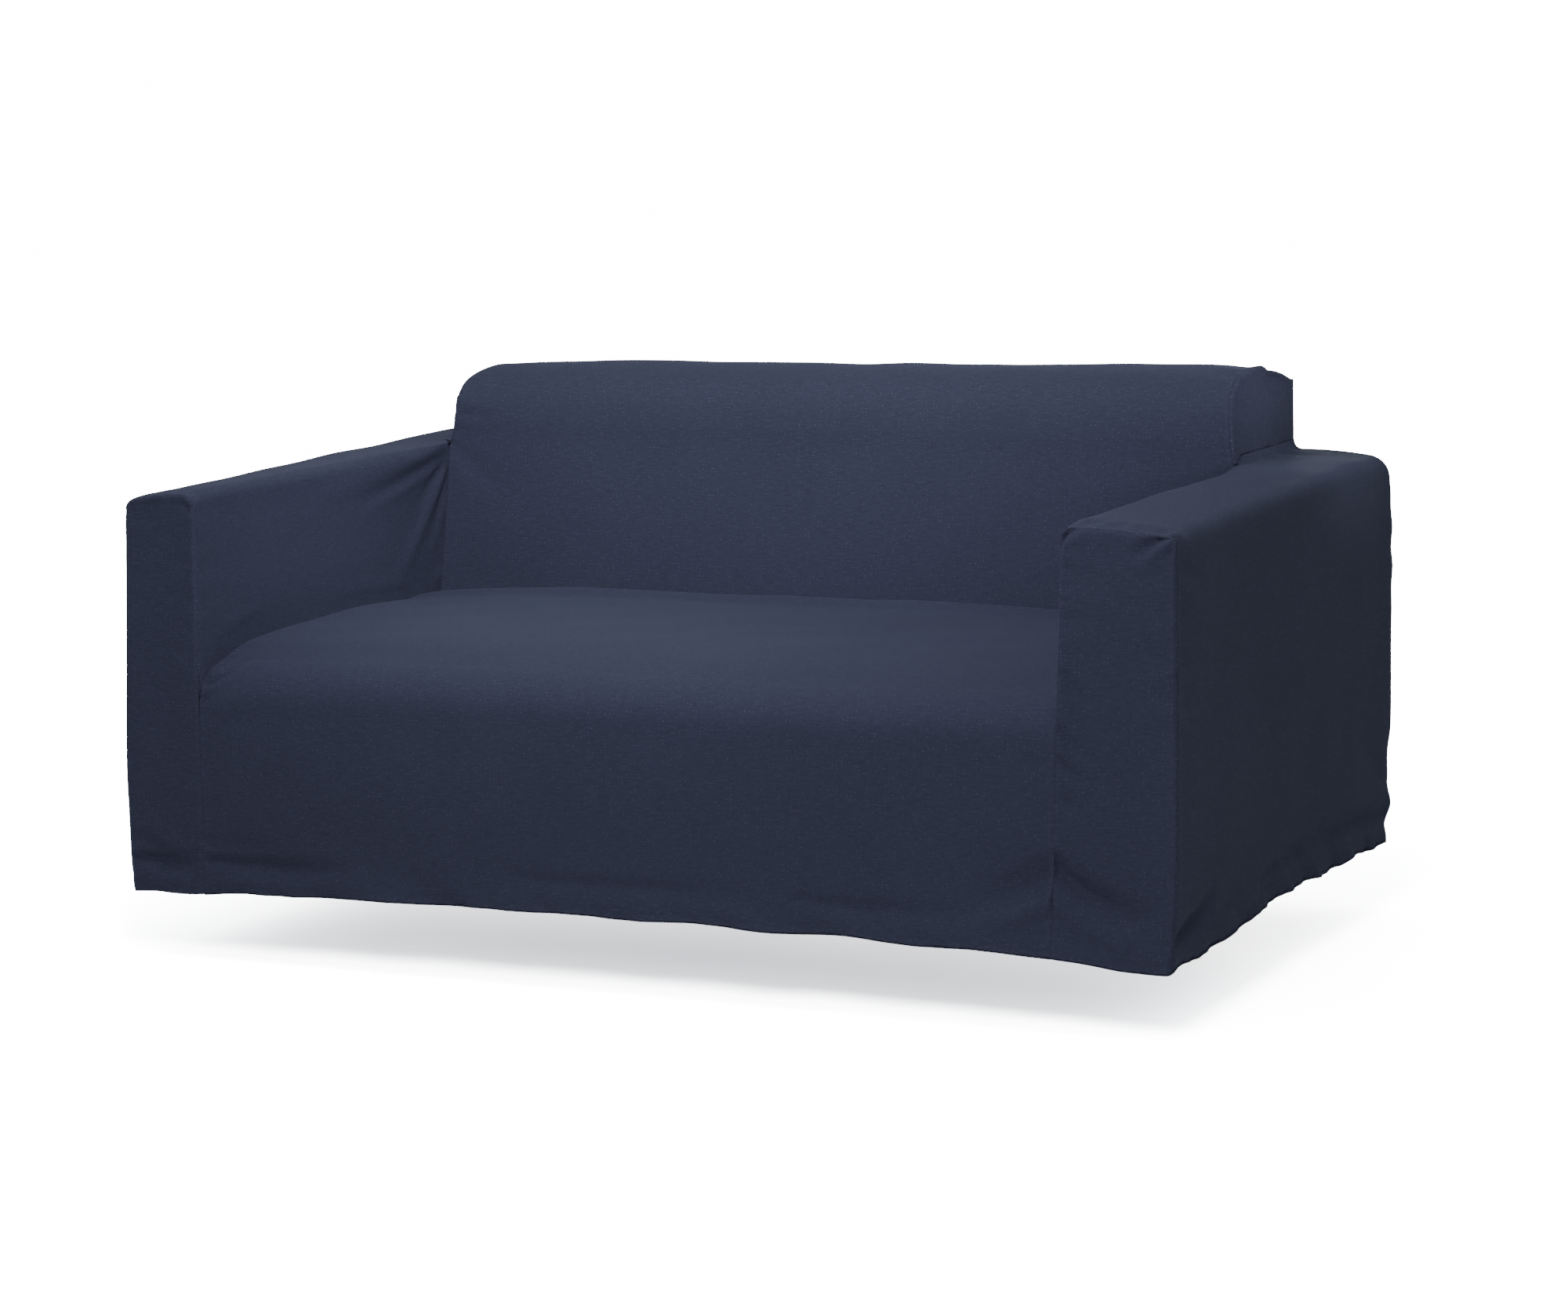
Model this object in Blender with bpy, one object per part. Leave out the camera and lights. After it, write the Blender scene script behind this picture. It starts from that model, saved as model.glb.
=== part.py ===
"""Fitted slipcover for a two-seater sofa: nine cloth panels, each a thin sheet, hanging as sewn.

X runs to the right seen from the front, Y to the back, Z up. Z = 0 is the lowest point of the hem.
Each panel is a grid on the straight form of the cover. Its folds move it along its normal, settle()
lets the whole cover sag and flare, and Solidify gives it the thickness of the cloth, inwards.
"""

import math

import bmesh
import bpy
import numpy as np

# Driving dimensions, in metres
WIDTH = 1.49  # across the arms, outside to outside
DEPTH = 0.90  # front of the apron to the rear
ARM_TOP = 0.549  # height of the arm tops above the hem, at the front
ARM_TOP_RISE = 0.007  # the arm tops are this much higher at the rear
CLOTH = 0.002  # thickness of a sheet
GAP = 0.0003  # between two panels at a seam

FRONT = -DEPTH / 2
REAR = DEPTH / 2
SIDE = WIDTH / 2
BUTT = CLOTH + GAP  # a panel that stops behind its neighbour stops this far in

# Arms: distance of the inner wall from the middle, at the front and at the backrest
LEFT, RIGHT = -1, 1
INNER_FRONT = {LEFT: 0.633, RIGHT: 0.589}  # at the hem
INNER_LEAN = {LEFT: -0.005, RIGHT: 0.027}  # the front edge leans out by this much of its height
INNER_REAR = {LEFT: 0.606, RIGHT: 0.605}
INNER_EDGE = 0.016  # rounding of an arm's inner top edge
FILLET = 0.012  # cloth stretched across the corner between arm top and backrest
OUTER_EDGE = 0.026  # rounding of an arm's outer top edge
LEAST_EDGE = 0.004  # the rounding passes from round to fillet without vanishing
OUTER_EDGE_AT_FRONT = {LEFT: 0.016, RIGHT: 0.012}
OUTER_EDGE_RUN = 0.070  # the sharp front corner softens over this length
OUTER_FALL_FRONT = 0.008  # an arm top slopes down this much to its outer side
OUTER_FALL_REAR = 0.002
FRONT_DIP = 0.005  # the front seam pulls the arm top down
FRONT_DIP_RUN = 0.045
REAR_CORNER = 0.024  # plan radius of the soft rear corners
INNER_EDGE_RUN = 0.090  # the inner rounding dies out over this length before the backrest
FILLET_RUN = 0.030  # and the fillet grows over this length beside it
SLANT_FROM = -0.060  # from here on the inner wall's columns slant like the backrest
TUCK = 0.004  # the inner wall goes on this far below the seat's cloth

# Backrest
END_TAPER = {LEFT: 0.235, RIGHT: 0.15}  # the front edges of its ends lean in above the arms
END_SET_BACK = 0.003  # the gussets at its ends start this far behind the notch
END_REAR_INSET = 0.004  # and stop this far before the rear seam
REAR_LEAN = 0.003  # the outside back leans forward this much above the arms
REAR_LEAN_RUN = 0.100

# Seat's front roll, from its start to the apron
ROLL_REACH = 0.050
ROLL_DROP = 0.056
ROLL_HANDLES = ((-0.030, -0.005), (0.000, 0.030))  # the curve's handles, as (y, z) steps

# Inside of the backrest from the crevice over the top to the rear seam
BACK_RUN = (
    # y, z
    (0.157, 0.325),
    (0.162, 0.348),
    (0.178, 0.433),
    (0.200, 0.552),
    (0.206, 0.593),
    (0.217, 0.628),
    (0.238, 0.654),
    (0.272, 0.669),
    (0.325, 0.674),
    (0.390, 0.664),
    (0.446, 0.649),
)
NOTCH_ROW = 3  # the row of BACK_RUN at the height of the arm tops
NOTCH_Y = BACK_RUN[NOTCH_ROW][0]  # the arm's cloth is notched for the backrest from here on

# Seat from the crevice to the start of the front roll
SEAT_RUN = (
    # y, height at the left end, in the middle, at the right end
    (0.153, 0.325, 0.333, 0.331),
    (0.135, 0.337, 0.353, 0.348),
    (0.060, 0.341, 0.358, 0.352),
    (-0.060, 0.346, 0.358, 0.353),
    (-0.170, 0.342, 0.355, 0.352),
    (-0.262, 0.338, 0.350, 0.349),
    (-0.340, 0.330, 0.340, 0.343),
    (-0.400, 0.312, 0.325, 0.334),
)
SEAT_CROWN_POWER = 3.5  # how sharply the seat falls off towards its ends

# Rise of the hem above its lowest point, along each side
FRONT_HEM = (
    # x, rise
    (-0.745, 0.000),
    (-0.665, 0.003),
    (-0.600, 0.008),
    (-0.480, 0.012),
    (-0.300, 0.016),
    (-0.108, 0.018),
    (0.293, 0.017),
    (0.573, 0.012),
    (0.650, 0.007),
    (0.745, 0.004),
)
RIGHT_HEM = (
    # y, rise
    (-0.450, 0.004),
    (-0.300, 0.006),
    (-0.182, 0.009),
    (-0.104, 0.017),
    (0.040, 0.021),
    (0.200, 0.016),
    (0.300, 0.017),
    (0.380, 0.010),
    (0.450, 0.011),
)
LEFT_HEM = (
    # y, rise
    (-0.450, 0.000),
    (-0.280, 0.009),
    (-0.080, 0.015),
    (0.120, 0.012),
    (0.320, 0.015),
    (0.450, 0.004),
)
REAR_HEM = (
    # x, rise
    (-0.745, 0.004),
    (-0.480, 0.013),
    (-0.150, 0.010),
    (0.220, 0.016),
    (0.540, 0.011),
    (0.745, 0.011),
)
HEM_REACH = 0.16  # height over which the rise of the hem dies out

# How far the walls stand out from the straight form, by height
SIDE_FLARE = (
    # z, left side, right side
    (0.000, 0.000, -0.002),
    (0.035, 0.005, 0.002),
    (0.120, 0.007, 0.006),
    (0.300, 0.001, 0.007),
    (0.549, -0.008, 0.006),
)
END_FLARE = (
    # z, front, rear
    (0.000, 0.001, -0.003),
    (0.060, -0.002, -0.001),
    (0.180, 0.000, 0.001),
    (0.330, 0.000, 0.001),
    (0.549, 0.000, 0.000),
)
TOP_TILT = (
    # x, rise of the backrest's top
    (-0.600, -0.014),
    (-0.490, -0.007),
    (-0.110, -0.002),
    (0.250, 0.002),
    (0.600, 0.003),
)

# Main folds of each panel: a path of three points on the panel, half width and height (a trough is negative)
FOLDS = {
    "arm_left": (
        # start, middle, end, half width, height
        ((-0.606, 0.130, 0.520), (-0.610, 0.020, 0.512), (-0.615, -0.120, 0.508), 0.020, 0.004),
        ((-0.606, 0.192, 0.532), (-0.607, 0.118, 0.503), (-0.611, 0.020, 0.470), 0.012, -0.006),
        ((-0.606, 0.182, 0.505), (-0.607, 0.100, 0.430), (-0.610, 0.055, 0.375), 0.017, 0.007),
        ((-0.606, 0.182, 0.480), (-0.607, 0.135, 0.415), (-0.608, 0.100, 0.370), 0.012, -0.005),
    ),
    "arm_front_right": (
        ((0.602, FRONT, 0.362), (0.612, FRONT, 0.338), (0.640, FRONT, 0.320), 0.010, -0.004),
        ((0.600, FRONT, 0.292), (0.610, FRONT, 0.270), (0.640, FRONT, 0.250), 0.010, -0.005),
        ((0.595, FRONT, 0.115), (0.640, FRONT, 0.072), (0.730, FRONT, 0.050), 0.022, -0.006),
        ((0.690, FRONT, 0.505), (0.712, FRONT, 0.520), (0.738, FRONT, 0.530), 0.010, -0.004),
    ),
    "arm_right": (
        ((0.745, 0.400, 0.040), (0.745, 0.300, 0.052), (0.745, 0.180, 0.062), 0.018, -0.006),
        ((0.745, 0.420, 0.070), (0.745, 0.360, 0.115), (0.745, 0.280, 0.170), 0.022, -0.005),
        ((0.745, -0.440, 0.030), (0.745, -0.380, 0.060), (0.745, -0.330, 0.120), 0.018, -0.005),
    ),
    "arm_front_left": (
        ((-0.735, FRONT, 0.045), (-0.690, FRONT, 0.038), (-0.640, FRONT, 0.046), 0.014, -0.004),
    ),
    "seat_apron": (
        ((-0.625, -0.440, 0.285), (-0.600, -0.415, 0.300), (-0.570, -0.380, 0.312), 0.012, -0.005),
        ((-0.600, FRONT, 0.040), (-0.500, FRONT, 0.034), (-0.380, FRONT, 0.042), 0.016, -0.004),
    ),
}
SIDE_FROM = 0.620  # the sides' flare starts this far from the middle
END_FROM = 0.300  # and that of front and rear this far
TILT_FROM, TILT_RUN = 0.560, 0.090  # the top's tilt grows over this height
FOLD_STEPS = 10  # straight pieces that stand for a fold's path
SEAM_FLAT = 0.005  # no fold reaches this close to a panel's edge
SEAM_HOLD = 0.012  # and over this much more they reach their height

# Rows and columns of the sheets
EDGE_ROWS, TOP_ROWS, SIDE_ROWS = 4, 4, 10
INNER_ROWS = {LEFT: 12, RIGHT: 8}
SEAT_ROWS, ROLL_ROWS, APRON_ROWS, SEAT_COLUMNS = 12, 5, 8, 17
BACK_COLUMNS = 11
END_ROWS = 5
REAR_LOW_ROWS, REAR_HIGH_ROWS, REAR_COLUMNS = 6, 3, 12
RUN_STEP = 0.05  # of a row of BACK_RUN, where its direction is read
PROFILE_STEPS = 24  # of the roll's curve, where its height is looked up
# Stations along an arm, evenly spaced within each stretch
ARM_STRETCHES = (
    # from, to, steps of the left arm, steps of the right
    (FRONT + BUTT, -0.380, 3, 3),
    (-0.380, SLANT_FROM, 4, 4),
    (SLANT_FROM, NOTCH_Y, 11, 4),
    (NOTCH_Y, REAR - 0.030, 4, 4),
    (REAR - 0.030, REAR - BUTT, 3, 3),
)

NAVY = (0.028, 0.035, 0.065, 1.0)
SHADED_NAVY = (0.022, 0.027, 0.048, 1.0)
CLOTH_ROUGHNESS = 0.9


def smooth(value):
    value = np.clip(value, 0.0, 1.0)
    return value * value * (3 - 2 * value)


def along(table, at, column=1):
    """A table's column at a value of its first, on a smooth curve through the rows."""
    rows = np.array(table)
    rows = rows[rows[:, 0].argsort()]
    key, value = rows[:, 0], rows[:, column]
    slope = np.gradient(value, key)
    at = np.clip(at, key[0], key[-1])
    k = np.clip(np.searchsorted(key, at, side="right") - 1, 0, len(key) - 2)
    run = key[k + 1] - key[k]
    t = (at - key[k]) / run
    ends = (1 + 2 * t) * (1 - t) ** 2 * value[k] + t * t * (3 - 2 * t) * value[k + 1]
    return ends + run * (t * (1 - t) ** 2 * slope[k] - t * t * (1 - t) * slope[k + 1])


def run_point(run, t):
    """The point at t of a run of (y, z) rows, where row k lies at t = k."""
    rows = np.array(run)
    index = np.arange(len(rows), dtype=float)
    return tuple(along(np.column_stack([index, rows[:, c]]), t) for c in range(2))


def front_x(side, z):
    """Distance from the middle of the front edge of an arm's inner wall, and of the seam below."""
    return INNER_FRONT[side] + INNER_LEAN[side] * z


def inner_x(side, y, z):
    """Distance of an arm's inner wall from the middle."""
    front = front_x(side, z)
    t = smooth((y - FRONT) / (NOTCH_Y - FRONT))
    return front + (INNER_REAR[side] - front) * t


def arm_top(y):
    return ARM_TOP + ARM_TOP_RISE * smooth((y - FRONT) / DEPTH)


def outer_x(y):
    """Distance of an arm's outer wall from the middle: round in plan at the rear corner."""
    into = np.maximum(y - (REAR - REAR_CORNER), 0.0)
    return SIDE - REAR_CORNER + np.sqrt(REAR_CORNER**2 - into**2)


def back_y(z):
    """Front face of the backrest at a height below its rounded top."""
    return along([(row[1], row[0]) for row in BACK_RUN[: NOTCH_ROW + 3]], z)


def seat_z(x, y):
    left, middle, right = (along(SEAT_RUN, y, column) for column in (1, 2, 3))
    share = np.clip(np.abs(x) / INNER_REAR[RIGHT], 0, 1) ** SEAT_CROWN_POWER
    return middle + (np.where(x < 0, left, right) - middle) * share


def roll_point(t, z):
    """The seat's front roll: a quarter turn from the seat, at height z, down to the apron."""
    start, end = np.array([FRONT + ROLL_REACH, z]), np.array([FRONT, z - ROLL_DROP])
    first, second = start + ROLL_HANDLES[0], end + ROLL_HANDLES[1]
    return (
        (1 - t) ** 3 * start
        + 3 * t * (1 - t) ** 2 * first
        + 3 * t * t * (1 - t) * second
        + t**3 * end
    )


def seat_edge(side, y):
    """Height of the seat's cloth where it meets an arm, down the front roll as well."""
    z = seat_z(side * INNER_REAR[RIGHT], max(y, FRONT + ROLL_REACH))
    if y > FRONT + ROLL_REACH:
        return z
    rows = [roll_point(t, z) for t in np.linspace(0, 1, PROFILE_STEPS)]
    return np.interp(y, [row[0] for row in rows][::-1], [row[1] for row in rows][::-1])


def inner_edge(y):
    """Signed rounding of the inner top edge: round before the backrest, a fillet beside it."""
    past = y - NOTCH_Y
    return INNER_EDGE * smooth(-past / INNER_EDGE_RUN) - FILLET * smooth(past / FILLET_RUN)


def arm_section(side, y):
    """The outline of an arm at y as (x, z) rows, from the top of the inner wall to the hem."""
    edge = inner_edge(y)
    reach = max(abs(edge), LEAST_EDGE)
    inner = inner_x(side, y, ARM_TOP)
    outer = outer_x(y)
    sharp = OUTER_EDGE_AT_FRONT[side]
    radius = sharp + (OUTER_EDGE - sharp) * smooth((y - FRONT) / OUTER_EDGE_RUN)
    top = arm_top(y) - FRONT_DIP * (1 - smooth((y - FRONT) / FRONT_DIP_RUN))
    fall = OUTER_FALL_FRONT + (OUTER_FALL_REAR - OUTER_FALL_FRONT) * smooth((y - FRONT) / DEPTH)
    rows = []
    for angle in np.radians(np.linspace(0, 90, EDGE_ROWS)):
        across, up = 1 - math.cos(angle), 1 - math.sin(angle)
        rows.append((inner + reach * across, top - edge * up))
    start, end = inner + reach, outer - radius
    for t in np.linspace(0, 1, TOP_ROWS)[1:]:
        rows.append((start + (end - start) * t, top - fall * t * t))
    for angle in np.radians(np.linspace(0, 90, EDGE_ROWS + 1)[1:]):
        across, down = math.sin(angle), 1 - math.cos(angle)
        rows.append((end + radius * across, top - fall - radius * down))
    low = top - fall - radius
    rows += [(outer, low * (1 - t)) for t in np.linspace(0, 1, SIDE_ROWS)[1:]]
    return rows


def inner_wall(side, y, t):
    """A point of an arm's inner wall: t = 0 just under the seat's cloth, 1 at the edge above.

    y is a station along the arm's top. Lower down, stations close up along the slanted backrest.
    """
    edge_z = arm_section(side, y)[0][1]
    share = smooth((y - SLANT_FROM) / (NOTCH_Y - SLANT_FROM))
    z = edge_z
    for _ in range(3):  # the foot and the slant depend on each other
        at = y + (back_y(z) + CLOTH * (1 - t) - NOTCH_Y) * share
        foot = seat_edge(side, at) - TUCK
        z = foot + (edge_z - foot) * t
    return inner_x(side, at, z), at, z


def stations(side):
    """The y values of an arm's columns, and the index of the one at the notch."""
    values = [ARM_STRETCHES[0][0]]
    for start, end, left_steps, right_steps in ARM_STRETCHES:
        steps = left_steps if side == LEFT else right_steps
        values += [start + (end - start) * k / steps for k in range(1, steps + 1)]
    return values, values.index(NOTCH_Y)


def fold_height(points, folds):
    """How far the folds move each point, along the panel's normal."""
    total = np.zeros(len(points))
    for start, middle, end, half_width, height in folds:
        start, middle, end = (np.array(p) for p in (start, middle, end))
        t = np.linspace(0, 1, FOLD_STEPS + 1)[:, None]
        path = (1 - t) ** 2 * start + 2 * t * (1 - t) * middle + t * t * end
        away = np.linalg.norm(points[:, None, :] - path[None], axis=2)
        nearest = away.argmin(axis=1) / FOLD_STEPS
        fade = np.sin(np.pi * (0.12 + 0.88 * nearest)) ** 0.7
        total += height * fade * np.exp(-((away.min(axis=1) / half_width) ** 2))
    return total


def settle(points):
    """The sag and flare of the whole cover: one smooth field, so seams stay together."""
    x, y, z = points.T
    side = smooth((np.abs(x) - SIDE_FROM) / (SIDE - SIDE_FROM))
    front = smooth((-y - END_FROM) / (-FRONT - END_FROM))
    rear = smooth((y - END_FROM) / (REAR - END_FROM))
    low = 1 - smooth(z / HEM_REACH)
    side_rise = np.where(x > 0, along(RIGHT_HEM, y), along(LEFT_HEM, y))
    end_rise = np.where(y < 0, along(FRONT_HEM, x), along(REAR_HEM, x))
    end_share = np.maximum(front, rear)
    total = np.maximum(side + end_share, 1e-6)
    rise = (side_rise * side + end_rise * end_share) / total
    out = points.copy()
    flare = np.where(x > 0, along(SIDE_FLARE, z, 2), along(SIDE_FLARE, z, 1))
    out[:, 0] += np.sign(x) * side * flare
    out[:, 1] += rear * along(END_FLARE, z, 2) - front * along(END_FLARE, z, 1)
    out[:, 2] += rise * low
    out[:, 2] += along(TOP_TILT, x) * smooth((z - TILT_FROM) / TILT_RUN)
    return out


def cloth_material(name, colour):
    material = bpy.data.materials.new(name)
    material.use_nodes = True
    shader = material.node_tree.nodes["Principled BSDF"]
    shader.inputs["Base Color"].default_value = colour
    shader.inputs["Roughness"].default_value = CLOTH_ROUGHNESS
    shader.inputs["Metallic"].default_value = 0.0
    return material


def make_panel(name, grid, outward, colour=NAVY, cut_out=None):
    """A sheet of cloth on a grid of points, rows by columns.

    outward is a direction that the outer side of its first cell faces.
    cut_out(row, column) is true for the cells that the panel doesn't have.
    """
    rows, columns = grid.shape[:2]
    mesh = bmesh.new()
    corners = [[mesh.verts.new(grid[i, j]) for j in range(columns)] for i in range(rows)]
    for i in range(rows - 1):
        for j in range(columns - 1):
            if cut_out and cut_out(i, j):
                continue
            ring = (corners[i][j], corners[i][j + 1], corners[i + 1][j + 1], corners[i + 1][j])
            mesh.faces.new(ring)
    loose = [v for v in mesh.verts if not v.link_faces]
    bmesh.ops.delete(mesh, geom=loose, context="VERTS")
    mesh.faces.ensure_lookup_table()
    mesh.normal_update()
    if mesh.faces[0].normal.dot(outward) < 0:
        bmesh.ops.reverse_faces(mesh, faces=mesh.faces)
        mesh.normal_update()
    points = np.array([v.co for v in mesh.verts])
    normals = np.array([v.normal for v in mesh.verts])
    edges = np.array([v.co for v in mesh.verts if v.is_boundary])
    away = np.linalg.norm(points[:, None] - edges[None], axis=2).min(axis=1)
    hold = smooth((away - SEAM_FLAT) / SEAM_HOLD)
    lift = fold_height(points, FOLDS.get(name, ())) * hold
    moved = settle(points + normals * lift[:, None])
    for vertex, place in zip(mesh.verts, moved):
        vertex.co = place
    data = bpy.data.meshes.new(name)
    mesh.to_mesh(data)
    mesh.free()
    data.shade_smooth()
    data.materials.append(cloth_material(name + "_cloth", colour))
    panel = bpy.data.objects.new(name, data)
    bpy.context.scene.collection.objects.link(panel)
    thickness = panel.modifiers.new("thickness", "SOLIDIFY")
    thickness.thickness = CLOTH
    thickness.offset = -1.0
    thickness.use_even_offset = False
    return panel


def make_arm(side, name):
    ys, notch = stations(side)
    inner_rows = INNER_ROWS[side]
    grid = np.zeros((inner_rows + len(arm_section(side, ys[0])), len(ys), 3))
    for j, y in enumerate(ys):
        for i in range(inner_rows):
            x, at, z = inner_wall(side, min(y, NOTCH_Y), i / inner_rows)
            grid[i, j] = (side * x, at, z)
        for i, (x, z) in enumerate(arm_section(side, y)):
            grid[inner_rows + i, j] = (side * x, y, z)
    return make_panel(
        name, grid, (-side, 0, 0), cut_out=lambda i, j: i < inner_rows and j >= notch
    )


def make_arm_front(side, name):
    outline = arm_section(side, FRONT)[: -SIDE_ROWS + 1]
    grid = np.zeros((SIDE_ROWS, len(outline), 3))
    width = outline[-1][0] - outline[0][0]
    for j, (x, top) in enumerate(outline):
        share = (outline[-1][0] - x) / width
        for i in range(SIDE_ROWS):
            z = top * i / (SIDE_ROWS - 1)
            shift = (front_x(side, z) - front_x(side, ARM_TOP)) * share
            grid[i, j] = (side * (x + shift), FRONT, z)
    return make_panel(name, grid, (0, -1, 0), SHADED_NAVY)


def make_seat_apron(name):
    grid = np.zeros((SEAT_ROWS + ROLL_ROWS + APRON_ROWS + 1, SEAT_COLUMNS, 3))
    for j in range(SEAT_COLUMNS):
        across = math.sin(math.pi / 2 * (2 * j / (SEAT_COLUMNS - 1) - 1))
        side = RIGHT if across > 0 else LEFT
        index = np.arange(len(SEAT_RUN), dtype=float)
        path = []
        for t in np.linspace(0, len(SEAT_RUN) - 1, SEAT_ROWS + 1):
            y = along(np.column_stack([index, [row[0] for row in SEAT_RUN]]), t)
            z = seat_z(across * INNER_REAR[side], y)
            path.append((across * (inner_x(side, y, z) - GAP), y, z))
        z = path[-1][2]
        for t in np.linspace(0, 1, ROLL_ROWS + 1)[1:]:
            y, height = roll_point(t, z)
            path.append((across * (inner_x(side, y, height) - GAP), y, height))
        low = path[-1][2]
        for t in np.linspace(0, 1, APRON_ROWS + 1)[1:]:
            height = low * (1 - t)
            path.append((across * (front_x(side, height) - GAP), FRONT, height))
        grid[:, j] = path
    return make_panel(name, grid, (0, 0, 1))


def end_x(side, y, z):
    """Distance of a backrest end from the middle: its front edge leans in, its rear edge doesn't."""
    ahead = 1 - smooth((y - NOTCH_Y) / (REAR - NOTCH_Y))
    return INNER_REAR[side] - END_TAPER[side] * ahead * np.maximum(z - ARM_TOP, 0)


def make_inside_back(name):
    rows = 2 * (len(BACK_RUN) - 1) + 1
    grid = np.zeros((rows, BACK_COLUMNS, 3))
    for i, t in enumerate(np.linspace(0, len(BACK_RUN) - 1, rows)):
        y, z = run_point(BACK_RUN, t)
        for j in range(BACK_COLUMNS):
            across = math.sin(math.pi / 2 * (2 * j / (BACK_COLUMNS - 1) - 1))
            side = RIGHT if across > 0 else LEFT
            grid[i, j] = (across * (end_x(side, y, z) - GAP), y, z)
    return make_panel(name, grid, (0, -1, 0))


def make_back_end(side, name):
    """A gusset under the edge of the inside back, from the arm's fillet to the top."""
    first, last = NOTCH_ROW + 1, len(BACK_RUN) - 1
    columns = 2 * (last - first) + 1
    grid = np.zeros((END_ROWS, columns, 3))
    for j, t in enumerate(np.linspace(first, last, columns)):
        ahead, behind = run_point(BACK_RUN, t + RUN_STEP), run_point(BACK_RUN, t - RUN_STEP)
        run_y, run_z = ahead[0] - behind[0], ahead[1] - behind[1]
        length = math.hypot(run_y, run_z)
        y, z = run_point(BACK_RUN, t)
        top = np.array([y + BUTT * run_z / length, z - BUTT * run_y / length])
        top[0] = min(top[0], REAR - BUTT - END_REAR_INSET)
        share = j / (columns - 1)
        front = NOTCH_Y + BUTT + END_SET_BACK
        foot_y = front + (REAR - BUTT - front) * share
        foot = np.array([foot_y, arm_top(foot_y) - inner_edge(foot_y) + GAP])
        for i in range(END_ROWS):
            y, z = foot + (top - foot) * i / (END_ROWS - 1)
            grid[i, j] = (side * (end_x(side, y, z) - 2 * GAP), y, z)
    return make_panel(name, grid, (side, 0, 0), SHADED_NAVY)


def rear_y(z):
    """Rear face: upright, leaning forward above the arms."""
    return REAR - REAR_LEAN * smooth((z - ARM_TOP) / REAR_LEAN_RUN)


def make_outside_back(name):
    left, right = (arm_section(side, REAR - BUTT)[: -SIDE_ROWS + 1] for side in (LEFT, RIGHT))
    middle = np.linspace(-left[0][0], right[0][0], REAR_COLUMNS)[1:-1]
    shoulder = arm_top(REAR) + FILLET
    tops = [(-x, z) for x, z in left[::-1]]
    tops += [(x, shoulder) for x in middle] + right
    arm_columns = len(left)
    grid = np.zeros((REAR_LOW_ROWS + REAR_HIGH_ROWS + 1, len(tops), 3))
    high = BACK_RUN[-1][1] - BUTT - 2 * GAP
    for j, (x, low) in enumerate(tops):
        for i in range(REAR_LOW_ROWS + 1):
            grid[i, j] = (x, REAR, low * i / REAR_LOW_ROWS)
        for i in range(1, REAR_HIGH_ROWS + 1):
            z = shoulder + (high - shoulder) * i / REAR_HIGH_ROWS
            grid[REAR_LOW_ROWS + i, j] = (x, rear_y(z), z)
    return make_panel(
        name,
        grid,
        (0, 1, 0),
        cut_out=lambda i, j: i >= REAR_LOW_ROWS
        and (j < arm_columns - 1 or j >= len(tops) - arm_columns),
    )


def main():
    for obj in list(bpy.data.objects):
        bpy.data.objects.remove(obj)
    make_seat_apron("seat_apron")
    make_inside_back("inside_back")
    make_outside_back("outside_back")
    make_arm(LEFT, "arm_left")
    make_arm(RIGHT, "arm_right")
    make_arm_front(LEFT, "arm_front_left")
    make_arm_front(RIGHT, "arm_front_right")
    make_back_end(LEFT, "back_end_left")
    make_back_end(RIGHT, "back_end_right")


main()
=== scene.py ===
"""Fitted slipcover for a two-seater sofa, sewn from nine panels of navy cloth.

Each panel is a fine sheet on the straight form of the cover. Folds and puckers move it along its
normal, settle() lets the whole cover sag and flare, and the lower edge is turned up into a hem.
X runs to the right seen from the front, Y to the back, Z up. Z = 0 is the lowest point of the hem.
"""

import math

import bpy
import numpy as np
from mathutils import Matrix, Vector


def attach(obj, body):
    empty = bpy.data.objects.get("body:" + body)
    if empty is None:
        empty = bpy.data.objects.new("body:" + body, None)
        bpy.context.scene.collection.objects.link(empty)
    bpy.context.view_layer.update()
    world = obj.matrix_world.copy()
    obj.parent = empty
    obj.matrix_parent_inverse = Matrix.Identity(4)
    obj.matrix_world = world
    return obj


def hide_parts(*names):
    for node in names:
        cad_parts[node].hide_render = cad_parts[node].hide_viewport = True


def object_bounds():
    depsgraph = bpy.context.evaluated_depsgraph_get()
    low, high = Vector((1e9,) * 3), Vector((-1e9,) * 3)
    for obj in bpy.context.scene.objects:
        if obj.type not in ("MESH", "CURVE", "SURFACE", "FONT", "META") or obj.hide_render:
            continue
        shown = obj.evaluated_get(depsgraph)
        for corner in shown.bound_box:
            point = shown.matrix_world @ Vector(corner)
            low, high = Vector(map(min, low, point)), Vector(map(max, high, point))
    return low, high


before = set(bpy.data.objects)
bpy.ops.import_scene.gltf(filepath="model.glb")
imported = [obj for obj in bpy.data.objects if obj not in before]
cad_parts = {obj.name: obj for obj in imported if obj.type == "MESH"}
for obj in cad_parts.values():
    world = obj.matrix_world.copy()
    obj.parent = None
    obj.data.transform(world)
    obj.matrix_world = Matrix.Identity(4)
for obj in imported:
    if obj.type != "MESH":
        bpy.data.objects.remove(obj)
CAD_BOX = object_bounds()

bl_info = {
    "name": "Sofa slipcover",
    "version": (1, 0, 0),
    "blender": (4, 5, 0),
    "location": "3D View > Sidebar > Slipcover",
    "description": "Builds a fitted cloth cover for a two-seater sofa, panel by panel",
    "category": "Add Mesh",
}

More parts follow.
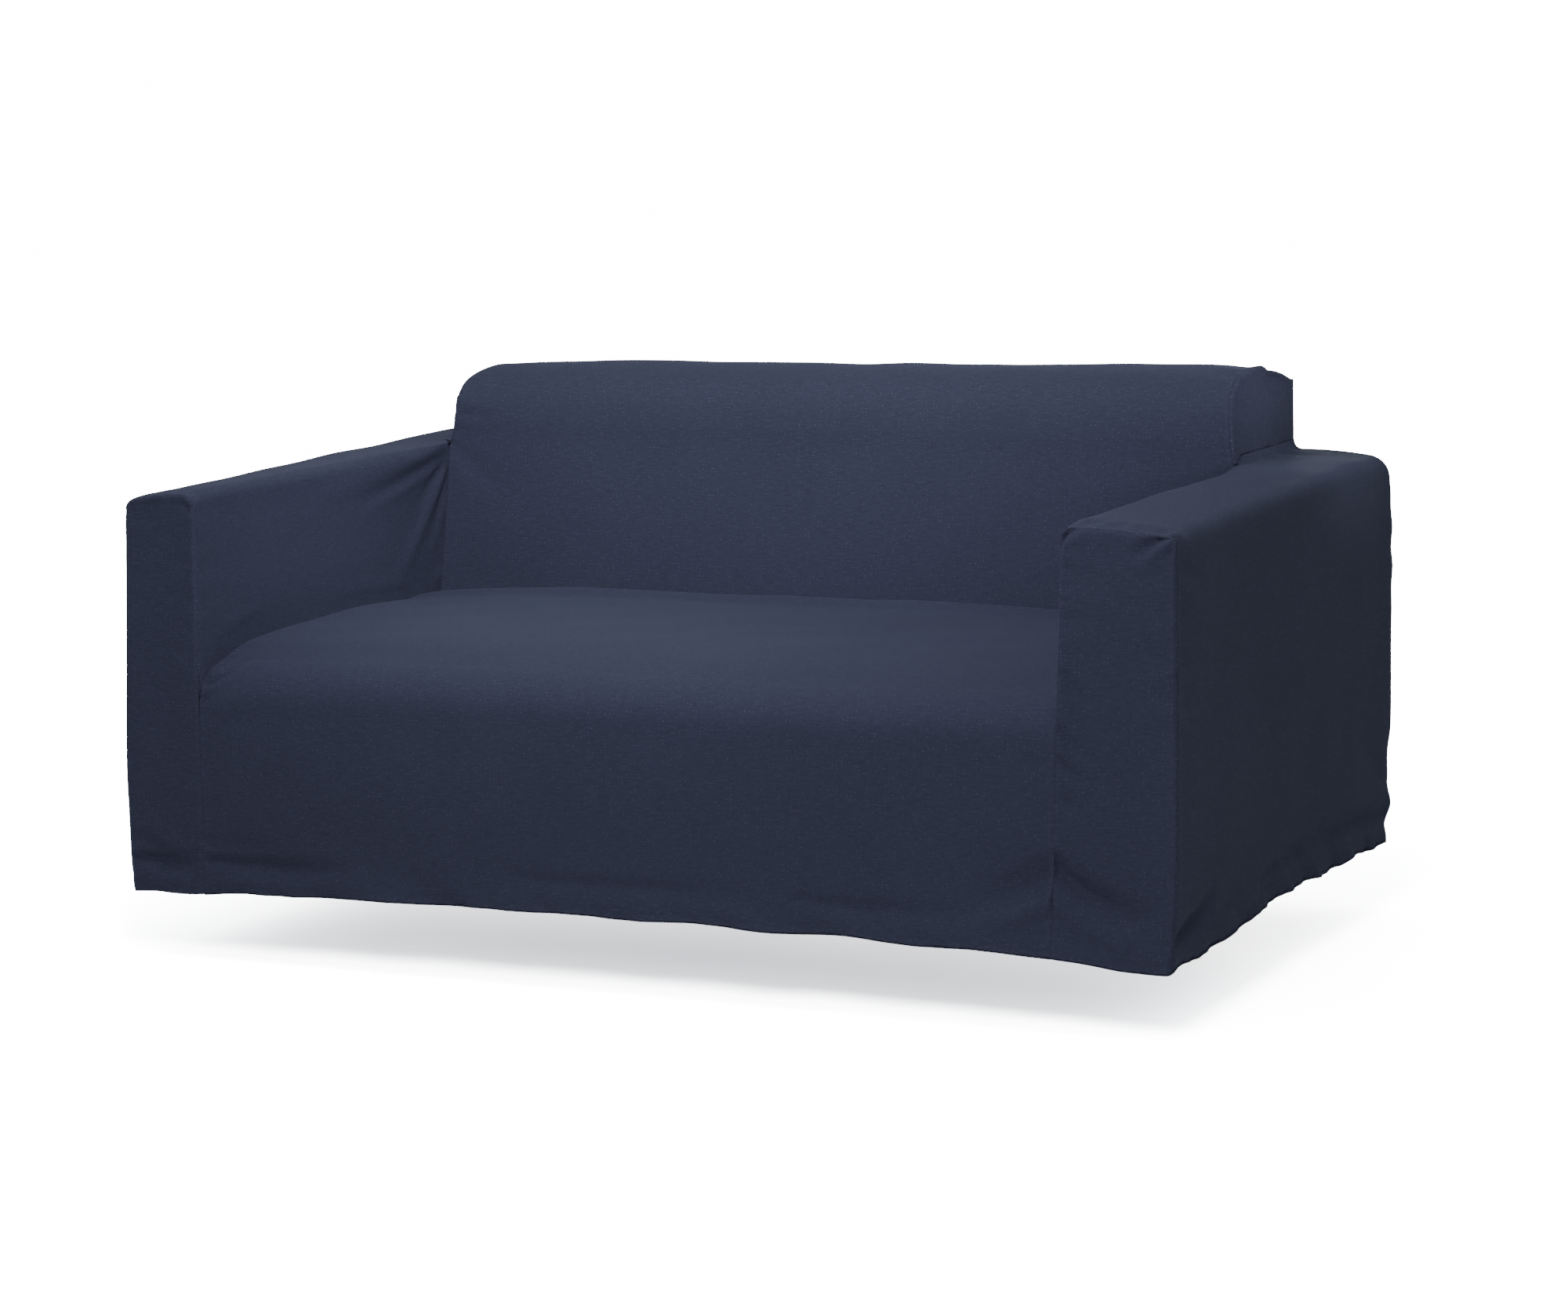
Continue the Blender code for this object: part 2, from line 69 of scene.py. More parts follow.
# Straight form of the cover, in metres
FRONT, REAR = -0.450, 0.450
SIDE = 0.745
ARM_TOP = 0.549  # height of the arm tops above the hem, at the front
ARM_TOP_RISE = 0.007
LEFT, RIGHT = -1, 1
SIDE_NAME = {LEFT: "left", RIGHT: "right"}
ROUNDING = 0.0050  # of the edges where two panels meet at a corner
SEAM_GAP = 0.0002
SEAM_LAP = 0.0012  # of the rear panel over the arms' cloth
SEAM_DIP, SEAM_DIP_REACH = 0.0005, 0.0040
ALLOWANCE = 0.007  # of cloth turned inwards along a seam
HEM_CLEARANCE = 0.004  # it ends this far above the hem

# Arms
INNER_FRONT = {LEFT: 0.633, RIGHT: 0.589}  # inner wall from the middle, at the hem
INNER_LEAN = {LEFT: -0.005, RIGHT: 0.027}  # its front edge leans out by this much of its height
INNER_REAR = {LEFT: 0.606, RIGHT: 0.605}
INNER_EDGE = 0.016  # rounding of the inner top edge
INNER_EDGE_RUN = 0.090
FILLET = 0.012  # cloth stretched across the corner between arm top and backrest
FILLET_RUN = 0.030
LEAST_EDGE = 0.004
OUTER_EDGE = 0.026
OUTER_EDGE_AT_FRONT = {LEFT: 0.016, RIGHT: 0.012}
OUTER_EDGE_RUN = 0.070
OUTER_FALL_FRONT, OUTER_FALL_REAR = 0.008, 0.002
FRONT_DIP, FRONT_DIP_RUN = 0.005, 0.045
REAR_CORNER = 0.024  # plan radius of the rear corners
SLANT_FROM = -0.060  # from here on the inner wall's columns slant like the backrest
TUCK = 0.008  # the inner wall goes on this far below the seat's cloth
TUCK_BACK = 0.004  # and this far behind the backrest's cloth
TUCK_FADE = 0.12  # share of the wall's height over which that dies out

# Backrest
END_TAPER = {LEFT: 0.235, RIGHT: 0.15}
REAR_LEAN, REAR_LEAN_RUN = 0.003, 0.100
NOTCH_ROW = 3  # the row of BACK_RUN at the height of the arm tops

# Inside of the backrest from the crevice over the top to the rear seam
BACK_RUN = (
    # y, z
    (0.1548, 0.318),
    (0.162, 0.348),
    (0.178, 0.433),
    (0.200, 0.552),
    (0.206, 0.593),
    (0.217, 0.628),
    (0.238, 0.654),
    (0.272, 0.669),
    (0.325, 0.674),
    (0.390, 0.664),
    (0.4430, 0.650),
)
NOTCH_Y = BACK_RUN[NOTCH_ROW][0]

# Seat from the crevice to the start of the front roll
SEAT_RUN = (
    # y, height at the left end, in the middle, at the right end
    (0.153, 0.325, 0.333, 0.331),
    (0.135, 0.337, 0.353, 0.348),
    (0.060, 0.341, 0.358, 0.352),
    (-0.060, 0.346, 0.358, 0.353),
    (-0.170, 0.342, 0.355, 0.352),
    (-0.262, 0.338, 0.350, 0.349),
    (-0.340, 0.330, 0.340, 0.343),
    (-0.400, 0.312, 0.325, 0.334),
)
SEAT_CROWN_POWER = 3.5
ROLL_REACH, ROLL_DROP = 0.050, 0.056
ROLL_HANDLES = ((-0.030, -0.005), (0.000, 0.030))

# Rise of the hem above its lowest point
FRONT_HEM = (
    # x, rise
    (-0.745, 0.000),
    (-0.665, 0.003),
    (-0.600, 0.008),
    (-0.480, 0.012),
    (-0.300, 0.016),
    (-0.108, 0.018),
    (0.293, 0.017),
    (0.573, 0.012),
    (0.650, 0.007),
    (0.745, 0.004),
)
RIGHT_HEM = (
    # y, rise
    (-0.450, 0.004),
    (-0.300, 0.006),
    (-0.182, 0.009),
    (-0.104, 0.017),
    (0.040, 0.021),
    (0.200, 0.016),
    (0.300, 0.017),
    (0.380, 0.010),
    (0.450, 0.011),
)
LEFT_HEM = (
    # y, rise
    (-0.450, 0.000),
    (-0.280, 0.009),
    (-0.080, 0.015),
    (0.120, 0.012),
    (0.320, 0.015),
    (0.450, 0.004),
)
REAR_HEM = (
    # x, rise
    (-0.745, 0.004),
    (-0.480, 0.013),
    (-0.150, 0.010),
    (0.220, 0.016),
    (0.540, 0.011),
    (0.745, 0.011),
)
HEM_REACH = 0.16  # height over which the rise of the hem dies out

# How far the walls stand out from the straight form, by height
SIDE_FLARE = (
    # z, left side, right side
    (0.000, 0.000, -0.002),
    (0.035, 0.005, 0.002),
    (0.120, 0.007, 0.006),
    (0.300, 0.001, 0.007),
    (0.549, -0.008, 0.006),
)
END_FLARE = (
    # z, front, rear
    (0.000, 0.001, -0.003),
    (0.060, -0.002, -0.001),
    (0.180, 0.000, 0.001),
    (0.330, 0.000, 0.001),
    (0.549, 0.000, 0.000),
)
TOP_TILT = (
    # x, rise of the backrest's top
    (-0.600, -0.014),
    (-0.490, -0.007),
    (-0.110, -0.002),
    (0.250, 0.002),
    (0.600, 0.003),
)
SIDE_FROM, END_FROM = 0.620, 0.300  # the flares start this far from the middle
TILT_FROM, TILT_RUN = 0.560, 0.090

# Folds of each panel in millimetres. A fold bends softly from its start to its end,
# drawn towards its middle point. A trough's height is negative.
ACROSS, DEEP = 0, 1
MILLIMETRES = 1000


def in_face(axis, place, *rows):
    """Folds in the face at a place on an axis, in metres. Their points have only the other axes."""
    folds = []
    for row in rows:
        points = [list(row[k : k + 2]) for k in (0, 2, 4)]
        for point in points:
            point.insert(axis, MILLIMETRES * place)
        folds.append((*points, *row[6:]))
    return tuple(folds)


FOLDS = {
    "arm_left": (
        # start, middle, end, half width, height
        ((-607, 186, 545), (-606, 80, 536), (-619, -160, 506), 13, 3),
        ((-607, 192, 540), (-607, 100, 520), (-614, -60, 484), 9, -3.4),
        ((-607, 192, 533), (-609, 95, 500), (-613, -30, 482), 8, 2.6),
        ((-607, 194, 532), (-608, 165, 516), (-609, 105, 470), 6.5, -4.4),
        ((-606, 192, 524), (-603, 140, 468), (-610, 44, 362), 12, 5.6),
        ((-606, 194, 520), (-605, 170, 478), (-608, 136, 410), 6, -3.6),
        ((-606, 192, 490), (-606, 180, 450), (-608, 140, 400), 4.5, 2),
        ((-607, 180, 380), (-606, 160, 362), (-607, 136, 347), 8, 2.6),
        ((-612, 80, 362), (-616, -20, 372), (-622, -140, 368), 10, 1.8),
        ((-628, -300, 372), (-630, -350, 366), (-632, -410, 350), 8, 1.6),
    ),
    "arm_right": in_face(
        ACROSS, SIDE,
        # y and z of start, middle and end, half width, height
        (420, 48, 210, 62, -100, 56, 16, -6.6),
        (440, 85, 360, 120, 260, 190, 20, -3),
        (-442, 36, -390, 47, -300, 70, 12, -9),
        (-436, 12, -300, 24, -120, 28, 13, 5),
        (-120, 46, -40, 52, 60, 50, 9, -3),
    ) + (
        ((745, -438, 500), (746, -405, 486), (746, -350, 478), 10, -1.8),
        ((745, -438, 478), (746, -400, 458), (746, -340, 430), 12, 1.4),
        ((605, 192, 520), (605, 110, 490), (607, 20, 470), 10, -4),
        ((605, 190, 505), (605, 120, 440), (607, 60, 370), 13, 4.5),
        ((618, -443, 548), (622, -425, 549), (634, -392, 549), 7.5, 2.6),
        ((634, -443, 548), (638, -428, 549), (650, -402, 549), 4.5, -2),
        ((650, -443, 547), (652, -430, 548), (660, -408, 548), 7, 2.2),
        ((668, -443, 546), (670, -432, 547), (676, -415, 547), 4.5, -1.8),
        ((688, -443, 545), (688, -428, 546), (690, -400, 546), 9, 2.2),
        ((722, -443, 541), (722, -430, 541), (728, -408, 540), 6, -2.2),
        ((736, -443, 536), (738, -432, 536), (740, -412, 534), 5, 1.8),
    ),
    "arm_front_right": in_face(
        DEEP, FRONT,
        # x and z of start, middle and end, half width, height
        (602, 506, 602, 540, 632, 542.5, 4.2, -5.8),
        (607, 522, 618, 530, 640, 530, 8, 2.2),
        (638, 541, 648, 542.5, 658, 540.5, 3, -2.6),
        (672, 539.5, 684, 541, 696, 538, 3, -2.6),
        (738, 534.5, 716, 533, 690, 506, 6, -6.2),
        (738, 526, 720, 520, 694, 490, 8.5, 3.6),
        (744, 532, 740, 524, 737, 510, 3.6, -4.2),
        (600, 490, 612, 494, 628, 488, 6, -1.8),
        (598, 376, 612, 352, 640, 322, 6, -3.4),
        (598, 356, 610, 336, 634, 310, 6, 2.4),
        (597, 306, 608, 282, 632, 256, 6, -4),
        (597, 288, 608, 266, 630, 242, 5, 3),
        (596, 262, 611, 252, 634, 230, 4.5, -3.4),
        (596, 238, 610, 230, 634, 212, 5, 2),
        (595, 218, 608, 206, 626, 194, 5, -2.2),
        (594, 132, 622, 78, 726, 54, 17, -12),
        (594, 85, 620, 36, 712, 22, 14, 5.6),
    ),
    "arm_front_left": in_face(
        DEEP, FRONT,
        # x and z of start, middle and end, half width, height
        (-742, 44, -700, 46, -634, 36, 10, -9),
        (-740, 20, -700, 24, -640, 14, 11, 4),
        (-742, 78, -715, 70, -690, 58, 10, -3),
        (-700, 72, -680, 66, -655, 62, 9, 2.2),
        (-742, 526, -700, 530, -650, 529, 3.5, -1.8),
        (-742, 517, -700, 521, -655, 519, 3.5, -1.4),
        (-734, 506, -700, 510, -665, 509, 3.5, -1),
        (-652, 532, -642, 530, -636, 518, 4, -3),
    ),
    "seat_apron": (
        ((-638, -440, 302), (-616, -424, 313), (-580, -392, 322), 5, -7.6),
        ((-638, -444, 293), (-616, -434, 303), (-580, -404, 316), 5, 5),
        ((-638, -447, 284), (-616, -440, 295), (-582, -414, 309), 5, -7.6),
        ((-638, -449, 273), (-614, -444, 284), (-584, -424, 300), 5, 3.4),
        ((-638, -450, 262), (-612, -447, 272), (-586, -434, 288), 5, -4.6),
    ) + in_face(
        DEEP, FRONT,
        # x and z of start, middle and end, half width, height
        (-628, 250, -560, 247, -470, 250, 4, -1.2),
        (-628, 238, -560, 234, -480, 236, 4, -1),
        (-634, 46, -560, 36, -400, 38, 10.5, -9.2),
        (-634, 66, -590, 74, -500, 58, 14, -3.6),
        (-620, 14, -540, 12, -420, 14, 10, 3.4),
        (596, 134, 570, 90, 480, 60, 20, -6),
        (596, 85, 560, 44, 460, 24, 14, 4),
        (590, 262, 572, 250, 545, 246, 6, -1.6),
        (240, 44, 360, 38, 500, 44, 12, -4.2),
        (-160, 46, 20, 38, 200, 46, 12, -4),
    ),
    "inside_back": (
        ((560, 250, 660), (575, 235, 648), (592, 224, 630), 6, -1.5),
        ((-598, 200, 548), (-560, 194, 520), (-500, 187, 480), 16, -2),
        ((600, 200, 548), (560, 194, 520), (520, 187, 480), 14, -2),
    ),
    "outside_back": in_face(
        DEEP, REAR,
        # x and z of start, middle and end, half width, height
        (-620, 540, -520, 500, -380, 470, 16, -3),
        (620, 540, 500, 490, 360, 465, 18, -3),
        (-610, 560, -600, 450, -560, 330, 14, 2.5),
        (610, 560, 596, 440, 570, 300, 14, 2.5),
        (-690, 70, -480, 50, -250, 58, 18, -4),
        (180, 54, 420, 44, 680, 60, 18, -4),
    ),
    "back_end_right": (
        ((600, 330, 668), (600, 345, 655), (602, 352, 636), 5, -3),
        ((600, 352, 664), (602, 380, 654), (603, 425, 644), 6, -3.5),
        ((600, 300, 664), (600, 300, 650), (601, 296, 634), 5, -1.6),
    ),
    "back_end_left": (
        ((-600, 330, 652), (-600, 345, 640), (-602, 352, 622), 5, -2.5),
        ((-600, 300, 650), (-600, 298, 636), (-601, 292, 622), 5, -1.6),
    ),
}

# Places that bulge or droop beyond the plain form
PUFFS = (
    # centre, reach, shift
    ((-0.600, 0.235, 0.640), (0.070, 0.050, 0.050), (-0.010, -0.012, 0.004)),
    ((0.603, 0.330, 0.670), (0.018, 0.020, 0.024), (0.001, 0.000, 0.005)),
    ((0.603, 0.358, 0.655), (0.014, 0.012, 0.020), (-0.003, 0.000, -0.003)),
    ((0.745, 0.430, 0.545), (0.060, 0.090, 0.040), (-0.003, 0.000, -0.006)),
    ((0.745, 0.450, 0.130), (0.020, 0.030, 0.030), (-0.006, -0.003, 0.000)),
    ((0.745, 0.450, 0.055), (0.020, 0.030, 0.022), (0.004, 0.003, 0.000)),
)

FOLD_STEPS = 24
FOLD_FADE, FOLD_FULLNESS = 0.14, 0.7  # a fold starts this far into its rise, and how full it is
FOLD_WIDTHS = (0.6, 0.8)  # its width at the start, and how much more it has at the end
FOLD_HOLD = 0.0045  # folds die out this close to a seam

# Relief of the cloth beside a seam
CREASE_DIP, CREASE_REACH = 0.0010, 0.009
RIDGE, RIDGE_PLACE, RIDGE_WIDTH = 0.00012, 0.0050, 0.0022
PUCKERS = (
    # seed, ripple, reach from the seam, height
    (11, 0.019, 0.005, 0.00022),
    (23, 0.052, 0.014, 0.00042),
)
BROAD_WAVES = ((0.34, 0.0011), (0.11, 0.00045))  # ripple and height
BROAD_REACH = 0.05  # they grow to full height this far from a seam
SEAM_WAY = np.array([0.73, 1.0, 1.19])  # places along a seam are counted on this slant

# Hem
HEM_BAND, HEM_EDGE = 0.0007, 0.0016  # the double cloth stands out by this, over this height
HEM_SLACK = 0.0003  # between its layers
HEM_ROUND = ((0.35, 0.15, 0.35), (0.7, 0.5, 0.5), (1.0, 0.85, 0.35))  # way up, in and down
HEM_ROWS = (0.005, 0.009, 0.013, 0.017)  # heights of the rows on its inside
STITCH_DIP, STITCH_WIDTH, STITCH_UP = 0.0006, 0.0012, 0.002
HEM_TWISTS = (
    # seed, ripple, number of waves, height
    (31, 0.040, 10, 0.0006),
    (37, 0.13, 8, 0.0016),
)
HEM_TWIST_REACH = 0.020
HEM_WAVE = (41, 0.12, 10, 0.0010)
HEM_WAVE_REACH = 0.03

# Lengths of cloth that the rows and columns of the sheets are counted on
WALL_LENGTH, SIDE_LENGTH, FRONT_LENGTH = 0.22, 0.52, 0.544
SEAT_LENGTH, ROLL_LENGTH, APRON_LENGTH, SEAT_WIDTH = 0.55, 0.085, 0.27, 1.24
BACK_LENGTH, BACK_WIDTH, END_LENGTH = 0.66, 1.20, 0.10
FINE_STEP = 0.004  # of the small sheets
RUN_STEPS = 400  # points that a run is measured on
CHUNK = 4000  # points compared with a seam at once
ENDS = np.array([0.0, 1.0])
EDGE_ROWS, ARM_TOP_WIDTH = 8, 0.11
FRONT_ROWS, REAR_ROWS = (60, 60), (10, 12)  # on an arm's edge and top, for outlines
FOOT_SETBACK = 0.0015  # of a gusset's foot behind the notch
INSET_RUN = 0.012  # height over which the inside back draws in from its end seams
REAR_INSET = 0.0012  # the arms' cloth ends this far before the rear face
CORNER_FROM = 0.300  # above this height an arm front's inner edge is a corner

# Spacing of a sheet's first rows from its edge, where the seams need detail
EDGE_MARKS = (0.0, 0.0005, 0.0011, 0.0019, 0.0029, 0.0042, 0.0060, 0.0085, 0.0120)


def smooth(value):
    value = np.clip(value, 0.0, 1.0)
    return value * value * (3 - 2 * value)


def along(table, at, column=1):
    """A table's column at a value of its first, on a smooth curve through the rows."""
    rows = np.array(table)
    rows = rows[rows[:, 0].argsort()]
    key, value = rows[:, 0], rows[:, column]
    slope = np.gradient(value, key)
    at = np.clip(at, key[0], key[-1])
    k = np.clip(np.searchsorted(key, at, side="right") - 1, 0, len(key) - 2)
    run = key[k + 1] - key[k]
    t = (at - key[k]) / run
    ends = (1 + 2 * t) * (1 - t) ** 2 * value[k] + t * t * (3 - 2 * t) * value[k + 1]
    return ends + run * (t * (1 - t) ** 2 * slope[k] - t * t * (1 - t) * slope[k + 1])


def run_points(run, t):
    """The points at t of a run of rows, where row k lies at t = k."""
    rows = np.array(run)
    index = np.arange(len(rows), dtype=float)
    columns = [along(np.column_stack([index, rows[:, c]]), t) for c in range(rows.shape[1])]
    return np.stack(columns, axis=-1)


def run_length(points):
    """Length of a run, or of each column of a grid, up to each of its points."""
    length = np.cumsum(np.linalg.norm(np.diff(points, axis=0), axis=-1), axis=0)
    return np.concatenate([np.zeros((1,) + length.shape[1:]), length])


def marks(length, step, fine_start=True, fine_end=True):
    """Places from 0 to length a step apart, closing up towards the ends that carry a seam."""
    start = list(EDGE_MARKS) if fine_start else [0.0]
    end = [length - mark for mark in reversed(EDGE_MARKS)] if fine_end else [length]
    room = end[0] - start[-1]
    count = max(2, round(room / step))
    middle = [start[-1] + room * k / count for k in range(1, count)]
    return np.array(start + middle + end)


def shares(length, step, fine_start=True, fine_end=True):
    """The same places as shares of the length."""
    return marks(length, step, fine_start, fine_end) / length


def waves(points, seed, length, count=12):
    """A smooth random field of about unit height, with ripples of about the given length."""
    random = np.random.default_rng(seed)
    total = np.zeros(points.shape[:-1])
    for _ in range(count):
        direction = random.normal(size=points.shape[-1])
        direction /= np.linalg.norm(direction)
        stretch = length * random.uniform(0.7, 1.6)
        total += np.cos(points @ direction * 2 * math.pi / stretch + random.uniform(0, 2 * math.pi))
    return total / math.sqrt(count / 2)


# Form of the cover


def front_x(side, z):
    """Distance from the middle of the front edge of an arm's inner wall, and of the seam below."""
    return INNER_FRONT[side] + INNER_LEAN[side] * z


def inner_x(side, y, z):
    front = front_x(side, z)
    return front + (INNER_REAR[side] - front) * smooth((y - FRONT) / (NOTCH_Y - FRONT))


def arm_top(y):
    return ARM_TOP + ARM_TOP_RISE * smooth((y - FRONT) / (REAR - FRONT))


def outer_x(y):
    into = np.maximum(y - (REAR - REAR_CORNER), 0.0)
    return SIDE - REAR_CORNER + np.sqrt(np.maximum(REAR_CORNER**2 - into**2, 0.0))


def back_y(z):
    """Front face of the backrest at a height below its rounded top."""
    return along([(row[1], row[0]) for row in BACK_RUN[: NOTCH_ROW + 3]], z)


def seat_z(x, y):
    left, middle, right = (along(SEAT_RUN, y, column) for column in (1, 2, 3))
    share = np.clip(np.abs(x) / INNER_REAR[RIGHT], 0, 1) ** SEAT_CROWN_POWER
    return middle + (np.where(x < 0, left, right) - middle) * share


def roll_points(t, z):
    """The seat's front roll: a quarter turn from the seat, at height z, down to the apron."""
    t = np.asarray(t)[:, None]
    start, end = np.array([FRONT + ROLL_REACH, z]), np.array([FRONT, z - ROLL_DROP])
    first, second = start + ROLL_HANDLES[0], end + ROLL_HANDLES[1]
    rest = 1 - t
    return rest**3 * start + 3 * t * rest**2 * first + 3 * t * t * rest * second + t**3 * end


def seat_edge(side, y):
    """Height of the seat's cloth where it meets an arm, down the front roll as well."""
    roll = roll_points(np.linspace(0, 1, 48), 0.0)
    z = seat_z(side * INNER_REAR[RIGHT], np.maximum(y, FRONT + ROLL_REACH))
    return z + np.interp(-y, -roll[:, 0], roll[:, 1])


def inner_edge(y):
    """Signed rounding of the inner top edge: round before the backrest, a fillet beside it."""
    past = y - NOTCH_Y
    return INNER_EDGE * smooth(-past / INNER_EDGE_RUN) - FILLET * smooth(past / FILLET_RUN)


def arm_section(side, y, edge_rows, top_rows, side_marks):
    """Outline of an arm at y as (x, z) rows, from the top of the inner wall to the hem."""
    edge = inner_edge(y)
    reach = max(abs(edge), LEAST_EDGE)
    inner, outer = inner_x(side, y, ARM_TOP), outer_x(y)
    sharp = OUTER_EDGE_AT_FRONT[side]
    radius = sharp + (OUTER_EDGE - sharp) * smooth((y - FRONT) / OUTER_EDGE_RUN)
    top = arm_top(y) - FRONT_DIP * (1 - smooth((y - FRONT) / FRONT_DIP_RUN))
    share = smooth((y - FRONT) / (REAR - FRONT))
    fall = OUTER_FALL_FRONT + (OUTER_FALL_REAR - OUTER_FALL_FRONT) * share
    turn = np.radians(np.linspace(0, 90, edge_rows))
    rows = [np.column_stack([inner + reach * (1 - np.cos(turn)), top - edge * (1 - np.sin(turn))])]
    start, end = inner + reach, outer - radius
    t = np.linspace(0, 1, top_rows)[1:]
    rows.append(np.column_stack([start + (end - start) * t, top - fall * t * t]))
    turn = turn[1:]
    down = top - fall - radius * (1 - np.cos(turn))
    rows.append(np.column_stack([end + radius * np.sin(turn), down]))
    low = top - fall - radius
    rows.append(np.column_stack([np.full(len(side_marks) - 1, outer), low * (1 - side_marks[1:])]))
    return np.concatenate(rows)


def inner_wall(side, y, t):
    """Points of an arm's inner wall: t = 0 just under the seat's cloth, 1 at the edge above."""
    edge_z = arm_section(side, y, 2, 2, ENDS)[0][1]
    share = smooth((y - SLANT_FROM) / (NOTCH_Y - SLANT_FROM))
    z = np.full(len(t), edge_z)
    for _ in range(4):  # the foot and the slant depend on each other
        at = y + (back_y(z) + TUCK_BACK * smooth((1 - t) / TUCK_FADE) - NOTCH_Y) * share
        foot = seat_edge(side, at) - TUCK
        z = foot + (edge_z - foot) * t
    return np.column_stack([inner_x(side, at, z), at, z])


def end_x(side, y, z):
    """Distance of a backrest end from the middle: only its front edge leans in."""
    ahead = 1 - smooth((y - NOTCH_Y) / (REAR - NOTCH_Y))
    return INNER_REAR[side] - END_TAPER[side] * ahead * np.maximum(z - ARM_TOP, 0)


def puff(points):
    """How far the places that bulge or droop beyond the plain form move each point."""
    move = np.zeros(points.shape)
    for centre, reach, shift in PUFFS:
        away = (((points - np.array(centre)) / np.array(reach)) ** 2).sum(axis=-1)
        move += np.exp(-away)[..., None] * np.array(shift)
    return move


def settle(points):
    """The sag and flare of the whole cover: one smooth field, so seams stay together."""
    x, y, z = points[..., 0], points[..., 1], points[..., 2]
    side = smooth((np.abs(x) - SIDE_FROM) / (SIDE - SIDE_FROM))
    front = smooth((-y - END_FROM) / (-FRONT - END_FROM))
    rear = smooth((y - END_FROM) / (REAR - END_FROM))
    low = 1 - smooth(z / HEM_REACH)
    side_rise = np.where(x > 0, along(RIGHT_HEM, y), along(LEFT_HEM, y))
    end_rise = np.where(y < 0, along(FRONT_HEM, x), along(REAR_HEM, x))
    end_share = np.maximum(front, rear)
    rise = (side_rise * side + end_rise * end_share) / np.maximum(side + end_share, 1e-6)
    out = points + puff(points)
    flare = np.where(x > 0, along(SIDE_FLARE, z, 2), along(SIDE_FLARE, z, 1))
    out[..., 0] += np.sign(x) * side * flare
    out[..., 1] += rear * along(END_FLARE, z, 2) - front * along(END_FLARE, z, 1)
    out[..., 2] += rise * low + along(TOP_TILT, x) * smooth((z - TILT_FROM) / TILT_RUN)
    return out


# Sheets


def fold_height(points, folds):
    """How far the folds move each point, along the sheet's normal."""
    total = np.zeros(points.shape[:-1])
    for start, middle, end, half_width, height in folds:
        start, middle, end = (np.array(p) / MILLIMETRES for p in (start, middle, end))
        half_width, height = half_width / MILLIMETRES, height / MILLIMETRES
        t = np.linspace(0, 1, FOLD_STEPS + 1)[:, None]
        path = (1 - t) ** 2 * start + 2 * t * (1 - t) * middle + t * t * end
        reach = 3 * half_width
        near = ((points > path.min(axis=0) - reach) & (points < path.max(axis=0) + reach)).all(-1)
        if not near.any():
            continue
        step = points[near][:, None, :] - path[None, :-1]
        leg = path[1:] - path[:-1]
        part = np.clip((step * leg).sum(-1) / (leg * leg).sum(-1), 0, 1)
        away = np.linalg.norm(step - part[..., None] * leg, axis=2)
        best = away.argmin(axis=1)
        place = (best + part[np.arange(len(best)), best]) / FOLD_STEPS
        fade = np.sin(np.pi * (FOLD_FADE + (1 - FOLD_FADE) * place)) ** FOLD_FULLNESS
        wide = half_width * (FOLD_WIDTHS[0] + FOLD_WIDTHS[1] * place)
        total[near] += height * fade * np.exp(-((away.min(axis=1) / wide) ** 2))
    return total


def cell_normals(points, cells):
    """Normals of grid points, averaged over the cells that the sheet keeps."""
    flat = points.reshape(-1, 3)
    a, b, c, d = (flat[cells[:, k]] for k in range(4))
    face = np.cross(c - a, d - b)
    normals = np.zeros_like(flat)
    for k in range(4):
        np.add.at(normals, cells[:, k], face)
    length = np.linalg.norm(normals, axis=1, keepdims=True)
    return (normals / np.maximum(length, 1e-12)).reshape(points.shape)


def seam_places(points, line):
    """Distance of each point to a seam line, and the place along the seam that is nearest."""
    flat = points.reshape(-1, 3)
    distance = np.empty(len(flat))
    nearest = np.empty(len(flat), dtype=int)
    for start in range(0, len(flat), CHUNK):
        part = slice(start, start + CHUNK)
        gap = flat[part, None, :] - line[None]
        squares = (gap * gap).sum(-1)
        nearest[part] = squares.argmin(axis=1)
        distance[part] = np.sqrt(squares.min(axis=1))
    place = line @ SEAM_WAY
    return distance.reshape(points.shape[:-1]), place[nearest].reshape(points.shape[:-1])


def seam_relief(distance, place, kind, strength):
    """Height of the cloth near a seam: the dip into it, the ridge beside it and its puckers."""
    if kind == "tucked":
        return np.zeros(distance.shape)
    if kind == "corner":
        inside = np.clip(1 - distance / ROUNDING, 0, 1)
        dip = -ROUNDING * (1 - np.sqrt(1 - inside**2))
    else:
        dip = -SEAM_DIP * (1 - smooth(distance / SEAM_DIP_REACH))
    if kind == "crease":
        dip = dip - CREASE_DIP * np.exp(-((distance / CREASE_REACH) ** 2))
    line = place[..., None]
    level = 0.55 + 0.45 * waves(line, 7, 0.30, 6)  # puckers come and go along a seam
    level = np.clip(level, 0.1, 1.6)
    puckers = sum(
        waves(line, seed, ripple, 10) * (distance / reach) * np.exp(1 - distance / reach) * height
        for seed, ripple, reach, height in PUCKERS
    )
    ridge = RIDGE * np.exp(-(((distance - RIDGE_PLACE) / RIDGE_WIDTH) ** 2))
    return dip + (ridge + level * puckers) * strength


def quads_of(number):
    """Cells between neighbouring points of a grid, given the points' numbers."""
    corners = (number[:-1, :-1], number[:-1, 1:], number[1:, 1:], number[1:, :-1])
    return np.stack(corners, axis=-1)


